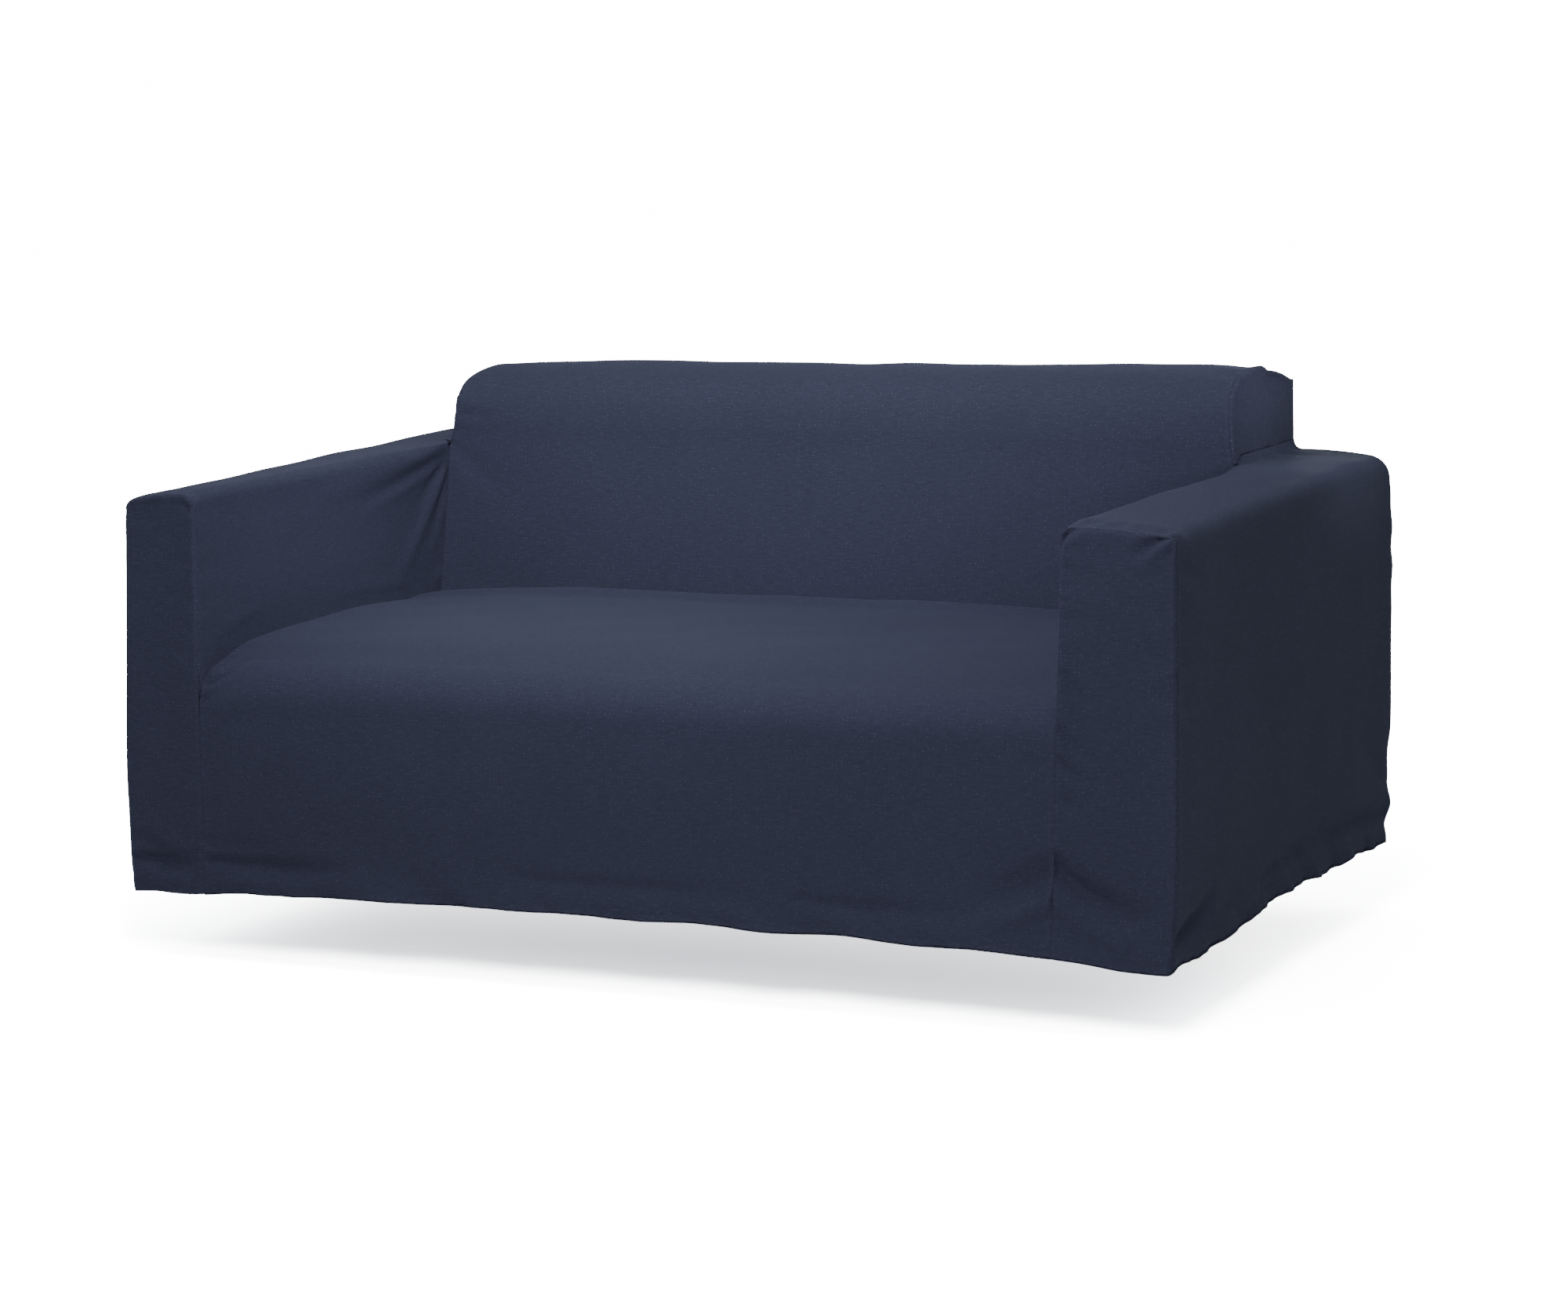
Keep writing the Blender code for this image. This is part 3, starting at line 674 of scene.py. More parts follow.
class Sheet:
    """One panel as a grid of points, with the cells it keeps and its seams."""

    def __init__(self, name, grid, outward, across, kept=None):
        self.name = name
        self.grid = grid
        rows, columns = grid.shape[:2]
        quads = quads_of(np.arange(rows * columns).reshape(rows, columns))
        self.kept = np.ones(quads.shape[:2], bool) if kept is None else kept
        self.cells = quads[self.kept]
        self.normals = cell_normals(grid, self.cells)
        middle = self.normals.reshape(-1, 3)[self.cells[len(self.cells) // 2, 0]]
        way = 1 if middle @ np.array(outward) >= 0 else -1  # -1 turns the cells round
        self.cells = self.cells[:, ::way]
        self.normals = self.normals * way
        self.seams = []
        down = run_length(grid)
        self.cloth = np.stack([grid[..., across], down - down[-1:], np.zeros(down.shape)], axis=-1)

    def sew(self, kind, rows, columns):
        """Adds a seam along grid points; one row or column serves for a whole run of the other."""
        rows, columns = np.broadcast_arrays(rows, columns)
        self.seams.append((kind, self.grid[rows, columns], rows * self.grid.shape[1] + columns))

    def shape(self, sizes, seed):
        """Moves the points: seams, folds, unevenness and the sag of the cover."""
        lift = fold_height(self.grid, FOLDS.get(self.name, ())) * sizes.fold_strength
        nearest = np.full(lift.shape, 1.0)
        place_of = np.zeros(lift.shape)
        relief = np.zeros(lift.shape)
        for kind, line, _ in self.seams:
            distance, place = seam_places(self.grid, line)
            relief += seam_relief(distance, place, kind, sizes.pucker_strength)
            closer = distance < nearest
            nearest = np.where(closer, distance, nearest)
            place_of = np.where(closer, place, place_of)
        broad = sum(
            height * waves(self.grid, seed + k, ripple)
            for k, (ripple, height) in enumerate(BROAD_WAVES)
        )
        lift = lift * smooth(nearest / FOLD_HOLD) + relief
        lift = lift + broad * smooth(nearest / BROAD_REACH) * sizes.unevenness
        self.seam_near, self.seam_place = nearest, place_of
        self.hem_near = np.full(nearest.shape, 1.0)
        self.points = settle(self.grid + self.normals * lift[..., None])
        self.normals = cell_normals(self.points, self.cells)

    def turned_in(self, points, normals):
        """The strips of cloth turned inwards along the seams: their points, cells and sources."""
        height = self.hem_near.reshape(-1)
        edges = set()
        for k in range(4):
            edges.update(zip(self.cells[:, k].tolist(), self.cells[:, (k + 1) % 4].tolist()))
        cells, sources = [], []
        for kind, _, indices in self.seams:
            if kind == "tucked":
                continue
            first = len(points) + len(sources)
            sources += indices.tolist()
            for k, (a, b) in enumerate(zip(indices[:-1].tolist(), indices[1:].tolist())):
                if min(height[a], height[b]) < HEM_CLEARANCE:
                    continue
                if (a, b) in edges and (b, a) not in edges:
                    cells.append((b, a, first + k, first + k + 1))
                elif (b, a) in edges and (a, b) not in edges:
                    cells.append((a, b, first + k + 1, first + k))
        sources = np.array(sources, dtype=int)
        strip = points[sources] - normals[sources] * ALLOWANCE
        return strip, np.array(cells, dtype=int).reshape(-1, 4), sources

    def turn_up_hem(self, depth, thickness):
        """Turns the last row inwards and up, as a sewn hem, and raises its band a little."""
        rows, columns = self.points.shape[:2]
        height = run_length(self.points[::-1])[::-1]
        self.hem_near = height
        band = smooth((depth - height) / HEM_EDGE + 0.5) * HEM_BAND
        from_stitches = (height - depth + STITCH_UP) / STITCH_WIDTH
        stitched = np.exp(-(from_stitches**2)) * STITCH_DIP
        line = (self.points @ SEAM_WAY)[..., None]
        twist = sum(waves(line, *ripples) * rise for *ripples, rise in HEM_TWISTS)
        twist = twist * np.exp(-height / HEM_TWIST_REACH)
        self.points = self.points + self.normals * (band - stitched + twist)[..., None]
        *ripples, rise = HEM_WAVE
        self.points[..., 2] += waves(line, *ripples) * rise * np.exp(-height / HEM_WAVE_REACH)
        inside = 2 * thickness + HEM_SLACK
        extra, ups = [], []
        for up, into, down in HEM_ROUND:
            low = self.points[-1] - self.normals[-1] * (into * inside)
            low[:, 2] -= down * inside
            extra.append(low)
            ups.append(up * inside)
        for up in (*HEM_ROWS, depth - STITCH_UP):
            place = [
                [np.interp(up, height[::-1, j], self.points[::-1, j, c]) for c in range(3)]
                for j in range(columns)
            ]
            extra.append(np.array(place) - self.normals[-3] * inside)
            ups.append(up)
        number = np.arange((rows + len(extra)) * columns).reshape(-1, columns)
        quads = quads_of(number[rows - 1 :])[:, self.kept[-1]].reshape(-1, 4)
        self.cells = np.concatenate([self.cells, quads])
        self.points = np.concatenate([self.points, extra])
        last = self.cloth[-1:]
        self.cloth = np.concatenate([self.cloth] + [last + np.array([0, up, 0]) for up in ups])
        for attribute in ("seam_near", "seam_place", "hem_near"):
            value = getattr(self, attribute)
            setattr(self, attribute, np.concatenate([value] + [value[-1:]] * len(extra)))

    def finish(self, sizes, material):
        """Makes the object: a thin closed sheet with the cloth's coordinates as attributes."""
        wanted = (sizes.width, sizes.depth, sizes.height)
        stretch = np.array([size / box_size(axis) for axis, size in enumerate(wanted)])
        points = self.points.reshape(-1, 3)
        normals = cell_normals(self.points, self.cells).reshape(-1, 3)
        strip, more, sources = self.turned_in(points, normals)
        seam = np.stack([self.seam_place, self.seam_near, self.hem_near], axis=-1).reshape(-1, 3)
        cloth = self.cloth.reshape(-1, 3)
        points = np.concatenate([points, strip]) * stretch
        seam, cloth = (np.concatenate([values, values[sources]]) for values in (seam, cloth))
        cells = np.concatenate([self.cells, more])
        used = np.unique(cells)
        renumber = np.full(len(points), -1)
        renumber[used] = np.arange(len(used))
        data = bpy.data.meshes.new(self.name + "_cloth")
        data.from_pydata(points[used].tolist(), [], renumber[cells].tolist())
        data.shade_smooth()
        data.validate()
        add_attribute(data, "cloth_place", cloth[used])
        add_attribute(data, "seam_place", seam[used])
        data.materials.append(material)
        piece = bpy.data.objects.new(self.name + "_cloth", data)
        bpy.context.scene.collection.objects.link(piece)
        layer = piece.modifiers.new("cloth thickness", "SOLIDIFY")
        layer.thickness = sizes.cloth_thickness
        layer.offset = -1.0
        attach(piece, "root")
        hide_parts(self.name)
        return piece


def add_attribute(data, name, values):
    made = data.attributes.new(name, "FLOAT_VECTOR", "POINT")
    made.data.foreach_set("vector", np.ascontiguousarray(values, np.float32).ravel())


def box_size(axis):
    return CAD_BOX[1][axis] - CAD_BOX[0][axis]


# Panels


def arm_sheet(side, sizes):
    """An arm's cloth in one piece: inner wall, top and outer side, notched for the backrest."""
    step = sizes.mesh_step
    start, end = FRONT + ROUNDING + SEAM_GAP, REAR - REAR_INSET
    ahead = start + marks(NOTCH_Y - start, step)
    behind = NOTCH_Y + marks(end - NOTCH_Y, step, fine_start=False)
    ys = np.concatenate([ahead, behind[1:]])
    notch = len(ahead) - 1
    wall_t = shares(WALL_LENGTH, step, fine_end=False)
    side_t = shares(SIDE_LENGTH, step, fine_start=False, fine_end=False)
    top_rows = max(4, round(ARM_TOP_WIDTH / step))
    inner_rows = len(wall_t) - 1
    columns = []
    for y in ys:
        wall = inner_wall(side, min(y, NOTCH_Y), wall_t)[:-1]
        section = arm_section(side, y, EDGE_ROWS, top_rows, side_t)
        over = np.column_stack([section[:, 0], np.full(len(section), y), section[:, 1]])
        columns.append(np.concatenate([wall, over]))
    grid = np.stack(columns, axis=1) * (side, 1, 1)
    kept = np.ones((grid.shape[0] - 1, grid.shape[1] - 1), bool)
    kept[:inner_rows, notch:] = False
    sheet = Sheet("arm_" + SIDE_NAME[side], grid, (side, 0, 0), 1, kept)
    rows, count = grid.shape[:2]
    sheet.sew("flat", np.arange(rows), 0)
    sheet.sew("flat", np.arange(inner_rows, rows), count - 1)
    sheet.sew("tucked", np.arange(inner_rows + 1), notch)
    sheet.sew("tucked", 0, np.arange(notch + 1))
    sheet.sew("flat", inner_rows, np.arange(notch, count))
    return sheet


def arm_front_sheet(side, sizes):
    """The upright panel that closes an arm at the front."""
    step = min(sizes.mesh_step, FINE_STEP)
    outline = arm_section(side, FRONT, *FRONT_ROWS, ENDS)[:-1]
    width = outline[-1][0] - outline[0][0]
    xs = outline[0][0] + marks(width, step)
    rise = np.interp(xs, outline[:, 0], outline[:, 1])
    height_t = shares(FRONT_LENGTH, step, fine_start=False)
    z = height_t[:, None] * rise[None]
    share = (xs[-1] - xs) / width
    x = xs + (front_x(side, z) - front_x(side, ARM_TOP)) * share
    grid = np.stack([side * x, np.full(x.shape, FRONT), z], axis=-1)[::-1]
    sheet = Sheet("arm_front_" + SIDE_NAME[side], grid, (0, -1, 0), 0)
    rows, count = grid.shape[:2]
    border = [(0, j) for j in range(count)] + [(i, count - 1) for i in range(rows)]
    inner_z = grid[:, 0, 2]
    border += [(i, 0) for i in range(rows) if inner_z[i] > CORNER_FROM]
    border = np.array(border)
    sheet.sew("corner", border[:, 0], border[:, 1])
    low = np.array([i for i in range(rows) if inner_z[i] <= CORNER_FROM])
    sheet.sew("flat", low, 0)
    return sheet


def seat_apron_sheet(sizes):
    """Seat, front roll and apron in one piece."""
    step = sizes.mesh_step
    index = np.arange(len(SEAT_RUN), dtype=float)
    seat_t = shares(SEAT_LENGTH, step, fine_end=False) * (len(SEAT_RUN) - 1)
    seat_y = along(np.column_stack([index, [row[0] for row in SEAT_RUN]]), seat_t)
    roll_t = np.linspace(0, 1, round(ROLL_LENGTH / step) + 1)[1:]
    drop_t = shares(APRON_LENGTH, step, fine_start=False, fine_end=False)[1:]
    across = marks(SEAT_WIDTH, step) / (SEAT_WIDTH / 2) - 1
    columns = []
    for share in across:
        side = RIGHT if share > 0 else LEFT
        z = seat_z(share * INNER_REAR[side], seat_y)
        path = [np.column_stack([share * (inner_x(side, seat_y, z) - SEAM_GAP), seat_y, z])]
        roll = roll_points(roll_t, z[-1])
        x = share * (inner_x(side, roll[:, 0], roll[:, 1]) - SEAM_GAP)
        path.append(np.column_stack([x, roll]))
        z = roll[-1, 1] * (1 - drop_t)
        x = share * (front_x(side, z) - SEAM_GAP)
        path.append(np.column_stack([x, np.full(len(z), FRONT), z]))
        columns.append(np.concatenate(path))
    grid = np.stack(columns, axis=1)
    sheet = Sheet("seat_apron", grid, (0, -1, 1), 0)
    rows, count = grid.shape[:2]
    seat = np.arange(len(seat_t) + len(roll_t))
    apron = np.arange(len(seat), rows)
    for column in (0, count - 1):
        sheet.sew("crease", seat, column)
        sheet.sew("flat", apron, column)
    sheet.sew("crease", 0, np.arange(count))
    return sheet


def inside_back_sheet(sizes):
    """The backrest's cloth, from the crevice over the top to the rear seam."""
    step = sizes.mesh_step
    last = len(BACK_RUN) - 1
    place = shares(BACK_LENGTH, step) * last
    length = run_length(run_points(BACK_RUN, np.linspace(0, last, RUN_STEPS)))
    even = np.arange(RUN_STEPS) / (RUN_STEPS - 1)
    at = np.interp(place / last * length[-1], length, even)
    profile = run_points(BACK_RUN, at * last)
    across = marks(BACK_WIDTH, step) / (BACK_WIDTH / 2) - 1
    columns = []
    for share in across:
        side = RIGHT if share > 0 else LEFT
        y, z = profile.T
        inset = SEAM_GAP + ROUNDING * smooth((z - ARM_TOP) / INSET_RUN)
        columns.append(np.column_stack([share * (end_x(side, y, z) - inset), y, z]))
    grid = np.stack(columns, axis=1)[::-1]
    sheet = Sheet("inside_back", grid, (0, -1, 0.3), 0)
    rows, count = grid.shape[:2]
    for column in (0, count - 1):
        sheet.sew("flat", np.arange(rows), column)
    sheet.sew("flat", 0, np.arange(count))
    sheet.sew("tucked", rows - 1, np.arange(count))
    return sheet


def back_end_sheet(side, sizes):
    """A gusset at the backrest's end, from the arm's fillet to the edge of the inside back."""
    step = min(sizes.mesh_step, FINE_STEP)
    fine = run_points(BACK_RUN, np.linspace(NOTCH_ROW + 0.10, len(BACK_RUN) - 1, RUN_STEPS))
    length = run_length(fine)
    place = marks(length[-1], step)
    top = np.column_stack([np.interp(place, length, fine[:, c]) for c in range(2)])
    share = place / length[-1]
    foot_y = NOTCH_Y + FOOT_SETBACK + (top[-1, 0] - NOTCH_Y - FOOT_SETBACK) * share
    foot_z = arm_top(foot_y) - inner_edge(foot_y) + SEAM_GAP
    height_t = shares(END_LENGTH, step)
    y = foot_y + (top[:, 0] - foot_y) * height_t[:, None]
    z = foot_z + (top[:, 1] - foot_z) * height_t[:, None]
    grid = np.stack([side * (end_x(side, y, z) - SEAM_GAP), y, z], axis=-1)[::-1]
    sheet = Sheet("back_end_" + SIDE_NAME[side], grid, (side, 0, 0), 1)
    rows, count = grid.shape[:2]
    sheet.sew("corner", 0, np.arange(count))
    sheet.sew("flat", np.arange(rows), count - 1)
    sheet.sew("flat", rows - 1, np.arange(count))
    return sheet


def outside_back_sheet(sizes):
    """The rear panel, wide behind the arms and stepped in above them."""
    step = sizes.mesh_step
    end = REAR - REAR_INSET
    left, right = (arm_section(side, end, *REAR_ROWS, ENDS)[:-1] for side in (LEFT, RIGHT))
    shoulder = arm_top(REAR) + FILLET
    inner = {LEFT: left[0][0], RIGHT: right[0][0]}
    outer = left[-1][0] + SEAM_LAP
    arm_marks = marks(outer - inner[LEFT], step)
    middle_x = -inner[LEFT] + marks(inner[LEFT] + inner[RIGHT], step)
    left_x = (-outer + arm_marks)[:-1]
    right_x = (inner[RIGHT] + (outer - inner[RIGHT]) * arm_marks / arm_marks[-1])[1:]
    xs = np.concatenate([left_x, middle_x, right_x])
    low = np.full(len(xs), shoulder)
    is_left, is_right = xs < -inner[LEFT], xs > inner[RIGHT]
    low[is_left] = np.interp(-xs[is_left], left[:, 0], left[:, 1])
    low[is_right] = np.interp(xs[is_right], right[:, 0], right[:, 1])
    low_t = shares(shoulder, step, fine_start=False)
    high = BACK_RUN[-1][1]
    high_z = shoulder + marks(high - shoulder, step, fine_start=False)[1:]
    z = np.concatenate([low_t[:, None] * low[None], np.repeat(high_z[:, None], len(xs), 1)])
    y = REAR - REAR_LEAN * smooth((z - ARM_TOP) / REAR_LEAN_RUN)
    grid = np.stack([np.repeat(xs[None], len(z), 0), y, z], axis=-1)[::-1]
    rows, count = grid.shape[:2]
    above = len(high_z)
    first, last = len(left_x), count - 1 - len(right_x)
    kept = np.ones((rows - 1, count - 1), bool)
    kept[:above, :first] = False
    kept[:above, last:] = False
    sheet = Sheet("outside_back", grid, (0, 1, 0), 0, kept)
    border = [(above, j) for j in range(first + 1)] + [(above, j) for j in range(last, count)]
    border += [(i, first) for i in range(above + 1)] + [(i, last) for i in range(above + 1)]
    border += [(0, j) for j in range(first, last + 1)]
    border = np.array(border)
    sheet.sew("corner", border[:, 0], border[:, 1])
    below = np.arange(above, rows)
    for column in (0, count - 1):
        sheet.sew("flat", below, column)
    return sheet


# Finish of the cloth

# Textures: spots per metre across and down the cloth, and how broken up they are
WEFT_SLUBS = (60.0, 560.0, 0.0), 3.0
WARP_SLUBS = (540.0, 34.0, 0.0), 2.0
MOTTLE = (150.0, 280.0, 0.0), 4.0
CLOUDS = (3.2, 4.5, 0.0), 2.0
GATHERS = (150.0, 26.0, 0.0), 1.0  # along a seam and away from it
GATHER_FADE = -70.0
YARN_WOBBLE = 1.6  # radians that the slubs push the yarns aside
FLECK_CELLS = (170.0, 210.0, 0.0)
FLECK_SIZE, FLECK_RARITY, FLECK_FADE, FLECK_MIX = 0.095, 0.45, 1.6, 0.7
RIDGE_HIGHLIGHT_PLACE, RIDGE_HIGHLIGHT_WIDTH = 0.0042, 0.0026  # painted highlight: a pale line along the ridge beside a seam


class Nodes:
    """Short ways to add nodes to a material or world and join them."""

    def __init__(self, owner):
        owner.use_nodes = True
        self.tree = owner.node_tree

    def join(self, output, node, name):
        self.tree.links.new(output, self.tree.nodes[node].inputs[name])

    def add(self, kind, inputs=(), **settings):
        node = self.tree.nodes.new(kind)
        for name, value in settings.items():
            setattr(node, name, value)
        for name, value in dict(inputs).items():
            if isinstance(value, bpy.types.NodeSocket):
                self.tree.links.new(value, node.inputs[name])
            else:
                node.inputs[name].default_value = value
        return node

    def math(self, operation, first, second=0.0, third=0.0):
        inputs = {0: first, 1: second, 2: third}
        return self.add("ShaderNodeMath", inputs, operation=operation).outputs[0]

    def summed(self, total, *layers):
        """Adds layers, given as output and strength, to a total."""
        for layer, strength in layers:
            total = self.math("MULTIPLY_ADD", layer, strength, total)
        return total

    def blend(self, factor, first, second, how="MIX"):
        inputs = {0: factor, 6: first, 7: second}
        return self.add("ShaderNodeMix", inputs, data_type="RGBA", blend_type=how).outputs[2]

    def mixed(self, factor, first, second):
        inputs = {0: factor, 1: first.outputs[0], 2: second.outputs[0]}
        return self.add("ShaderNodeMixShader", inputs)

    def seen_as(self, plain, seen):
        """The plain shader for the light, and the other one for what the camera sees of it."""
        ray = self.add("ShaderNodeLightPath").outputs["Is Camera Ray"]
        return self.mixed(ray, plain, seen)

    def place(self, attribute):
        """A sheet's own coordinates, whole and by axis."""
        vector = self.add("ShaderNodeAttribute", attribute_name=attribute).outputs["Vector"]
        return vector, self.add("ShaderNodeSeparateXYZ", {"Vector": vector}).outputs

    def stretched(self, vector, scale):
        inputs = {0: vector, 1: scale}
        return self.add("ShaderNodeVectorMath", inputs, operation="MULTIPLY").outputs[0]

    def noise(self, vector, scale, detail):
        inputs = {"Vector": self.stretched(vector, scale), "Scale": 1.0, "Detail": detail}
        return self.add("ShaderNodeTexNoise", inputs).outputs["Fac"]


def cloth_material(name, colours):
    """Plain-woven cotton: yarns with slubs, pale flecks, soft mottling and a painted highlight
    along the ridge beside each seam.
    """
    material = bpy.data.materials.new(name)
    n = Nodes(material)
    cloth, axes = n.place("cloth_place")
    seam, seam_axes = n.place("seam_place")
    weft_slub, warp_slub, mottle, cloudy = (
        n.noise(cloth, *texture) for texture in (WEFT_SLUBS, WARP_SLUBS, MOTTLE, CLOUDS)
    )

    # Two sets of yarns
    turn = 2 * math.pi / colours.yarn_pitch
    yarns = []
    for axis, slub in ((0, warp_slub), (1, weft_slub)):
        wobble = n.math("MULTIPLY", slub, YARN_WOBBLE)
        yarns.append(n.math("COSINE", n.math("MULTIPLY_ADD", axes[axis], turn, wobble)))
    weave = n.math("MULTIPLY", *yarns)

    # Pale flecks, one in some of the cells
    cells = {"Vector": n.stretched(cloth, FLECK_CELLS), "Scale": 1.0, "Randomness": 1.0}
    cells = n.add("ShaderNodeTexVoronoi", cells, voronoi_dimensions="2D").outputs
    chance = n.add("ShaderNodeSeparateColor", {"Color": cells["Color"]}).outputs
    spot = n.math("LESS_THAN", cells["Distance"], FLECK_SIZE)
    lucky = n.math("GREATER_THAN", chance[0], FLECK_RARITY)
    paleness = n.math("POWER", chance[1], FLECK_FADE)
    fleck = n.math("MULTIPLY", n.math("MULTIPLY", spot, lucky), paleness)

    # Colour
    # Painted highlight: the cloth is made paler along the raised ridge beside each seam
    from_seam = n.math("DIVIDE", n.math("SUBTRACT", seam_axes[1], RIDGE_HIGHLIGHT_PLACE), RIDGE_HIGHLIGHT_WIDTH)
    ridge_highlight = n.math("EXPONENT", n.math("MULTIPLY", n.math("MULTIPLY", from_seam, from_seam), -1.0))
    shade = n.summed(
        n.math("MULTIPLY_ADD", weft_slub, 0.48, 0.76),
        (n.math("SUBTRACT", mottle, 0.5), 0.34),
        (n.math("SUBTRACT", cloudy, 0.5), 0.16),
        (weave, 0.10),
        (ridge_highlight, 0.05),
    )
    grey = n.add("ShaderNodeCombineColor", {0: shade, 1: shade, 2: shade}).outputs[0]
    colour = n.blend(1.0, tuple(colours.cloth) + (1.0,), grey, "MULTIPLY")
    pale = tuple(colours.fleck) + (1.0,)
    colour = n.blend(n.math("MULTIPLY", fleck, FLECK_MIX), colour, pale)
    n.join(colour, "Principled BSDF", "Base Color")

    # Relief in metres: yarns, slubs and the gathers along the seams
    gather = n.noise(seam, *GATHERS)
    fading = n.math("EXPONENT", n.math("MULTIPLY", seam_axes[1], GATHER_FADE))
    height = n.summed(
        n.math("MULTIPLY", weave, 0.00009),
        (weft_slub, 0.00028),
        (mottle, 0.00022),
        (n.math("MULTIPLY", gather, fading), 0.0016),
    )
    bump = n.add("ShaderNodeBump", {"Height": height, "Strength": 1.0, "Distance": 1.0})
    n.join(bump.outputs["Normal"], "Principled BSDF", "Normal")
    n.join(n.math("MULTIPLY_ADD", mottle, 0.14, 0.80), "Principled BSDF", "Roughness")
    shader = material.node_tree.nodes["Principled BSDF"]
    shader.inputs["Specular IOR Level"].default_value = 0.12
    shader.inputs["Sheen Weight"].default_value = colours.sheen
    shader.inputs["Sheen Roughness"].default_value = 0.45
    shader.inputs["Sheen Tint"].default_value = (0.55, 0.65, 1.0, 1.0)
    return material


# Settings


class SlipcoverSizes(bpy.types.PropertyGroup):
    """Sizes of the cover."""

    width: bpy.props.FloatProperty(
        name="Width", description="Overall width of the cover", default=box_size(0), unit="LENGTH"
    )
    depth: bpy.props.FloatProperty(
        name="Depth", description="Overall depth of the cover", default=box_size(1), unit="LENGTH"
    )
    height: bpy.props.FloatProperty(
        name="Height", description="Hem to the top of the back", default=box_size(2), unit="LENGTH"
    )
    cloth_thickness: bpy.props.FloatProperty(
        name="Cloth thickness", description="Thickness of the cloth", default=0.0012,
        precision=4, unit="LENGTH",
    )
    hem_depth: bpy.props.FloatProperty(
        name="Hem depth", description="How far the hem is turned up", default=0.022, unit="LENGTH"
    )
    mesh_step: bpy.props.FloatProperty(
        name="Mesh step", description="Distance between the points of a sheet", default=0.0058,
        precision=4, unit="LENGTH",
    )
    fold_strength: bpy.props.FloatProperty(
        name="Folds", description="Height of the folds", default=1.0, subtype="FACTOR"
    )
    pucker_strength: bpy.props.FloatProperty(
        name="Puckers", description="Height of the puckers at the seams", default=1.0,
        subtype="FACTOR",
    )
    unevenness: bpy.props.FloatProperty(
        name="Unevenness", description="Height of the broad waves in the cloth", default=1.0,
        subtype="FACTOR",
    )


class SlipcoverColours(bpy.types.PropertyGroup):
    """Colours and finish of the cloth and the stage."""

    cloth: bpy.props.FloatVectorProperty(
        name="Cloth", description="Colour of the cloth", default=(0.0282, 0.0312, 0.0560),
        subtype="COLOR", min=0.0, max=1.0,
    )
    fleck: bpy.props.FloatVectorProperty(
        name="Flecks", description="Colour of the pale flecks", default=(0.11, 0.12, 0.16),
        subtype="COLOR", min=0.0, max=1.0,
    )
    sheen: bpy.props.FloatProperty(
        name="Sheen", description="Soft gloss of the fibres", default=0.06, subtype="FACTOR"
    )
    yarn_pitch: bpy.props.FloatProperty(
        name="Yarn pitch", description="Distance over two yarns of the weave", default=0.0018,
        precision=4, unit="LENGTH",
    )
    floor: bpy.props.FloatVectorProperty(
        name="Floor", description="Colour of the floor", default=(0.90, 0.90, 0.90),
        subtype="COLOR", min=0.0, max=1.0,
    )


# Operators


def sew_panels(context, sheets, seed, has_hem=True):
    """Shapes the sheets of one group of panels and makes their objects."""
    sizes, colours = context.scene.slipcover_sizes, context.scene.slipcover_colours
    for k, sheet in enumerate(sheets):
        sheet.shape(sizes, seed + 10 * k)
        if has_hem:
            sheet.turn_up_hem(sizes.hem_depth, sizes.cloth_thickness)
        sheet.finish(sizes, cloth_material(sheet.name + "_canvas", colours))
    return {"FINISHED"}


class SewSeatApron(bpy.types.Operator):
    """Sews the seat with its front roll and apron"""

    bl_idname = "slipcover.seat_apron"
    bl_label = "Seat and apron"

    def execute(self, context):
        sizes = context.scene.slipcover_sizes
        sheets = [seat_apron_sheet(sizes)]
        return sew_panels(context, sheets, 100)


class SewInsideBack(bpy.types.Operator):
    """Sews the inside of the backrest"""

    bl_idname = "slipcover.inside_back"
    bl_label = "Inside back"

    def execute(self, context):
        sizes = context.scene.slipcover_sizes
        sheets = [inside_back_sheet(sizes)]
        return sew_panels(context, sheets, 200, has_hem=False)


class SewOutsideBack(bpy.types.Operator):
    """Sews the rear panel"""

    bl_idname = "slipcover.outside_back"
    bl_label = "Outside back"

    def execute(self, context):
        sizes = context.scene.slipcover_sizes
        sheets = [outside_back_sheet(sizes)]
        return sew_panels(context, sheets, 300)


class SewArms(bpy.types.Operator):
    """Sews the two arms"""

    bl_idname = "slipcover.arms"
    bl_label = "Arms"

    def execute(self, context):
        sizes = context.scene.slipcover_sizes
        sheets = [arm_sheet(side, sizes) for side in (LEFT, RIGHT)]
        return sew_panels(context, sheets, 400)


class SewArmFronts(bpy.types.Operator):
    """Sews the two arm fronts"""

    bl_idname = "slipcover.arm_fronts"
    bl_label = "Arm fronts"

    def execute(self, context):
        sizes = context.scene.slipcover_sizes
        sheets = [arm_front_sheet(side, sizes) for side in (LEFT, RIGHT)]
        return sew_panels(context, sheets, 500)


class SewBackEnds(bpy.types.Operator):
    """Sews the two gussets at the ends of the backrest"""

    bl_idname = "slipcover.back_ends"
    bl_label = "Back ends"

    def execute(self, context):
        sizes = context.scene.slipcover_sizes
        sheets = [back_end_sheet(side, sizes) for side in (LEFT, RIGHT)]
        return sew_panels(context, sheets, 600, has_hem=False)


# Stage: camera, floor and lights

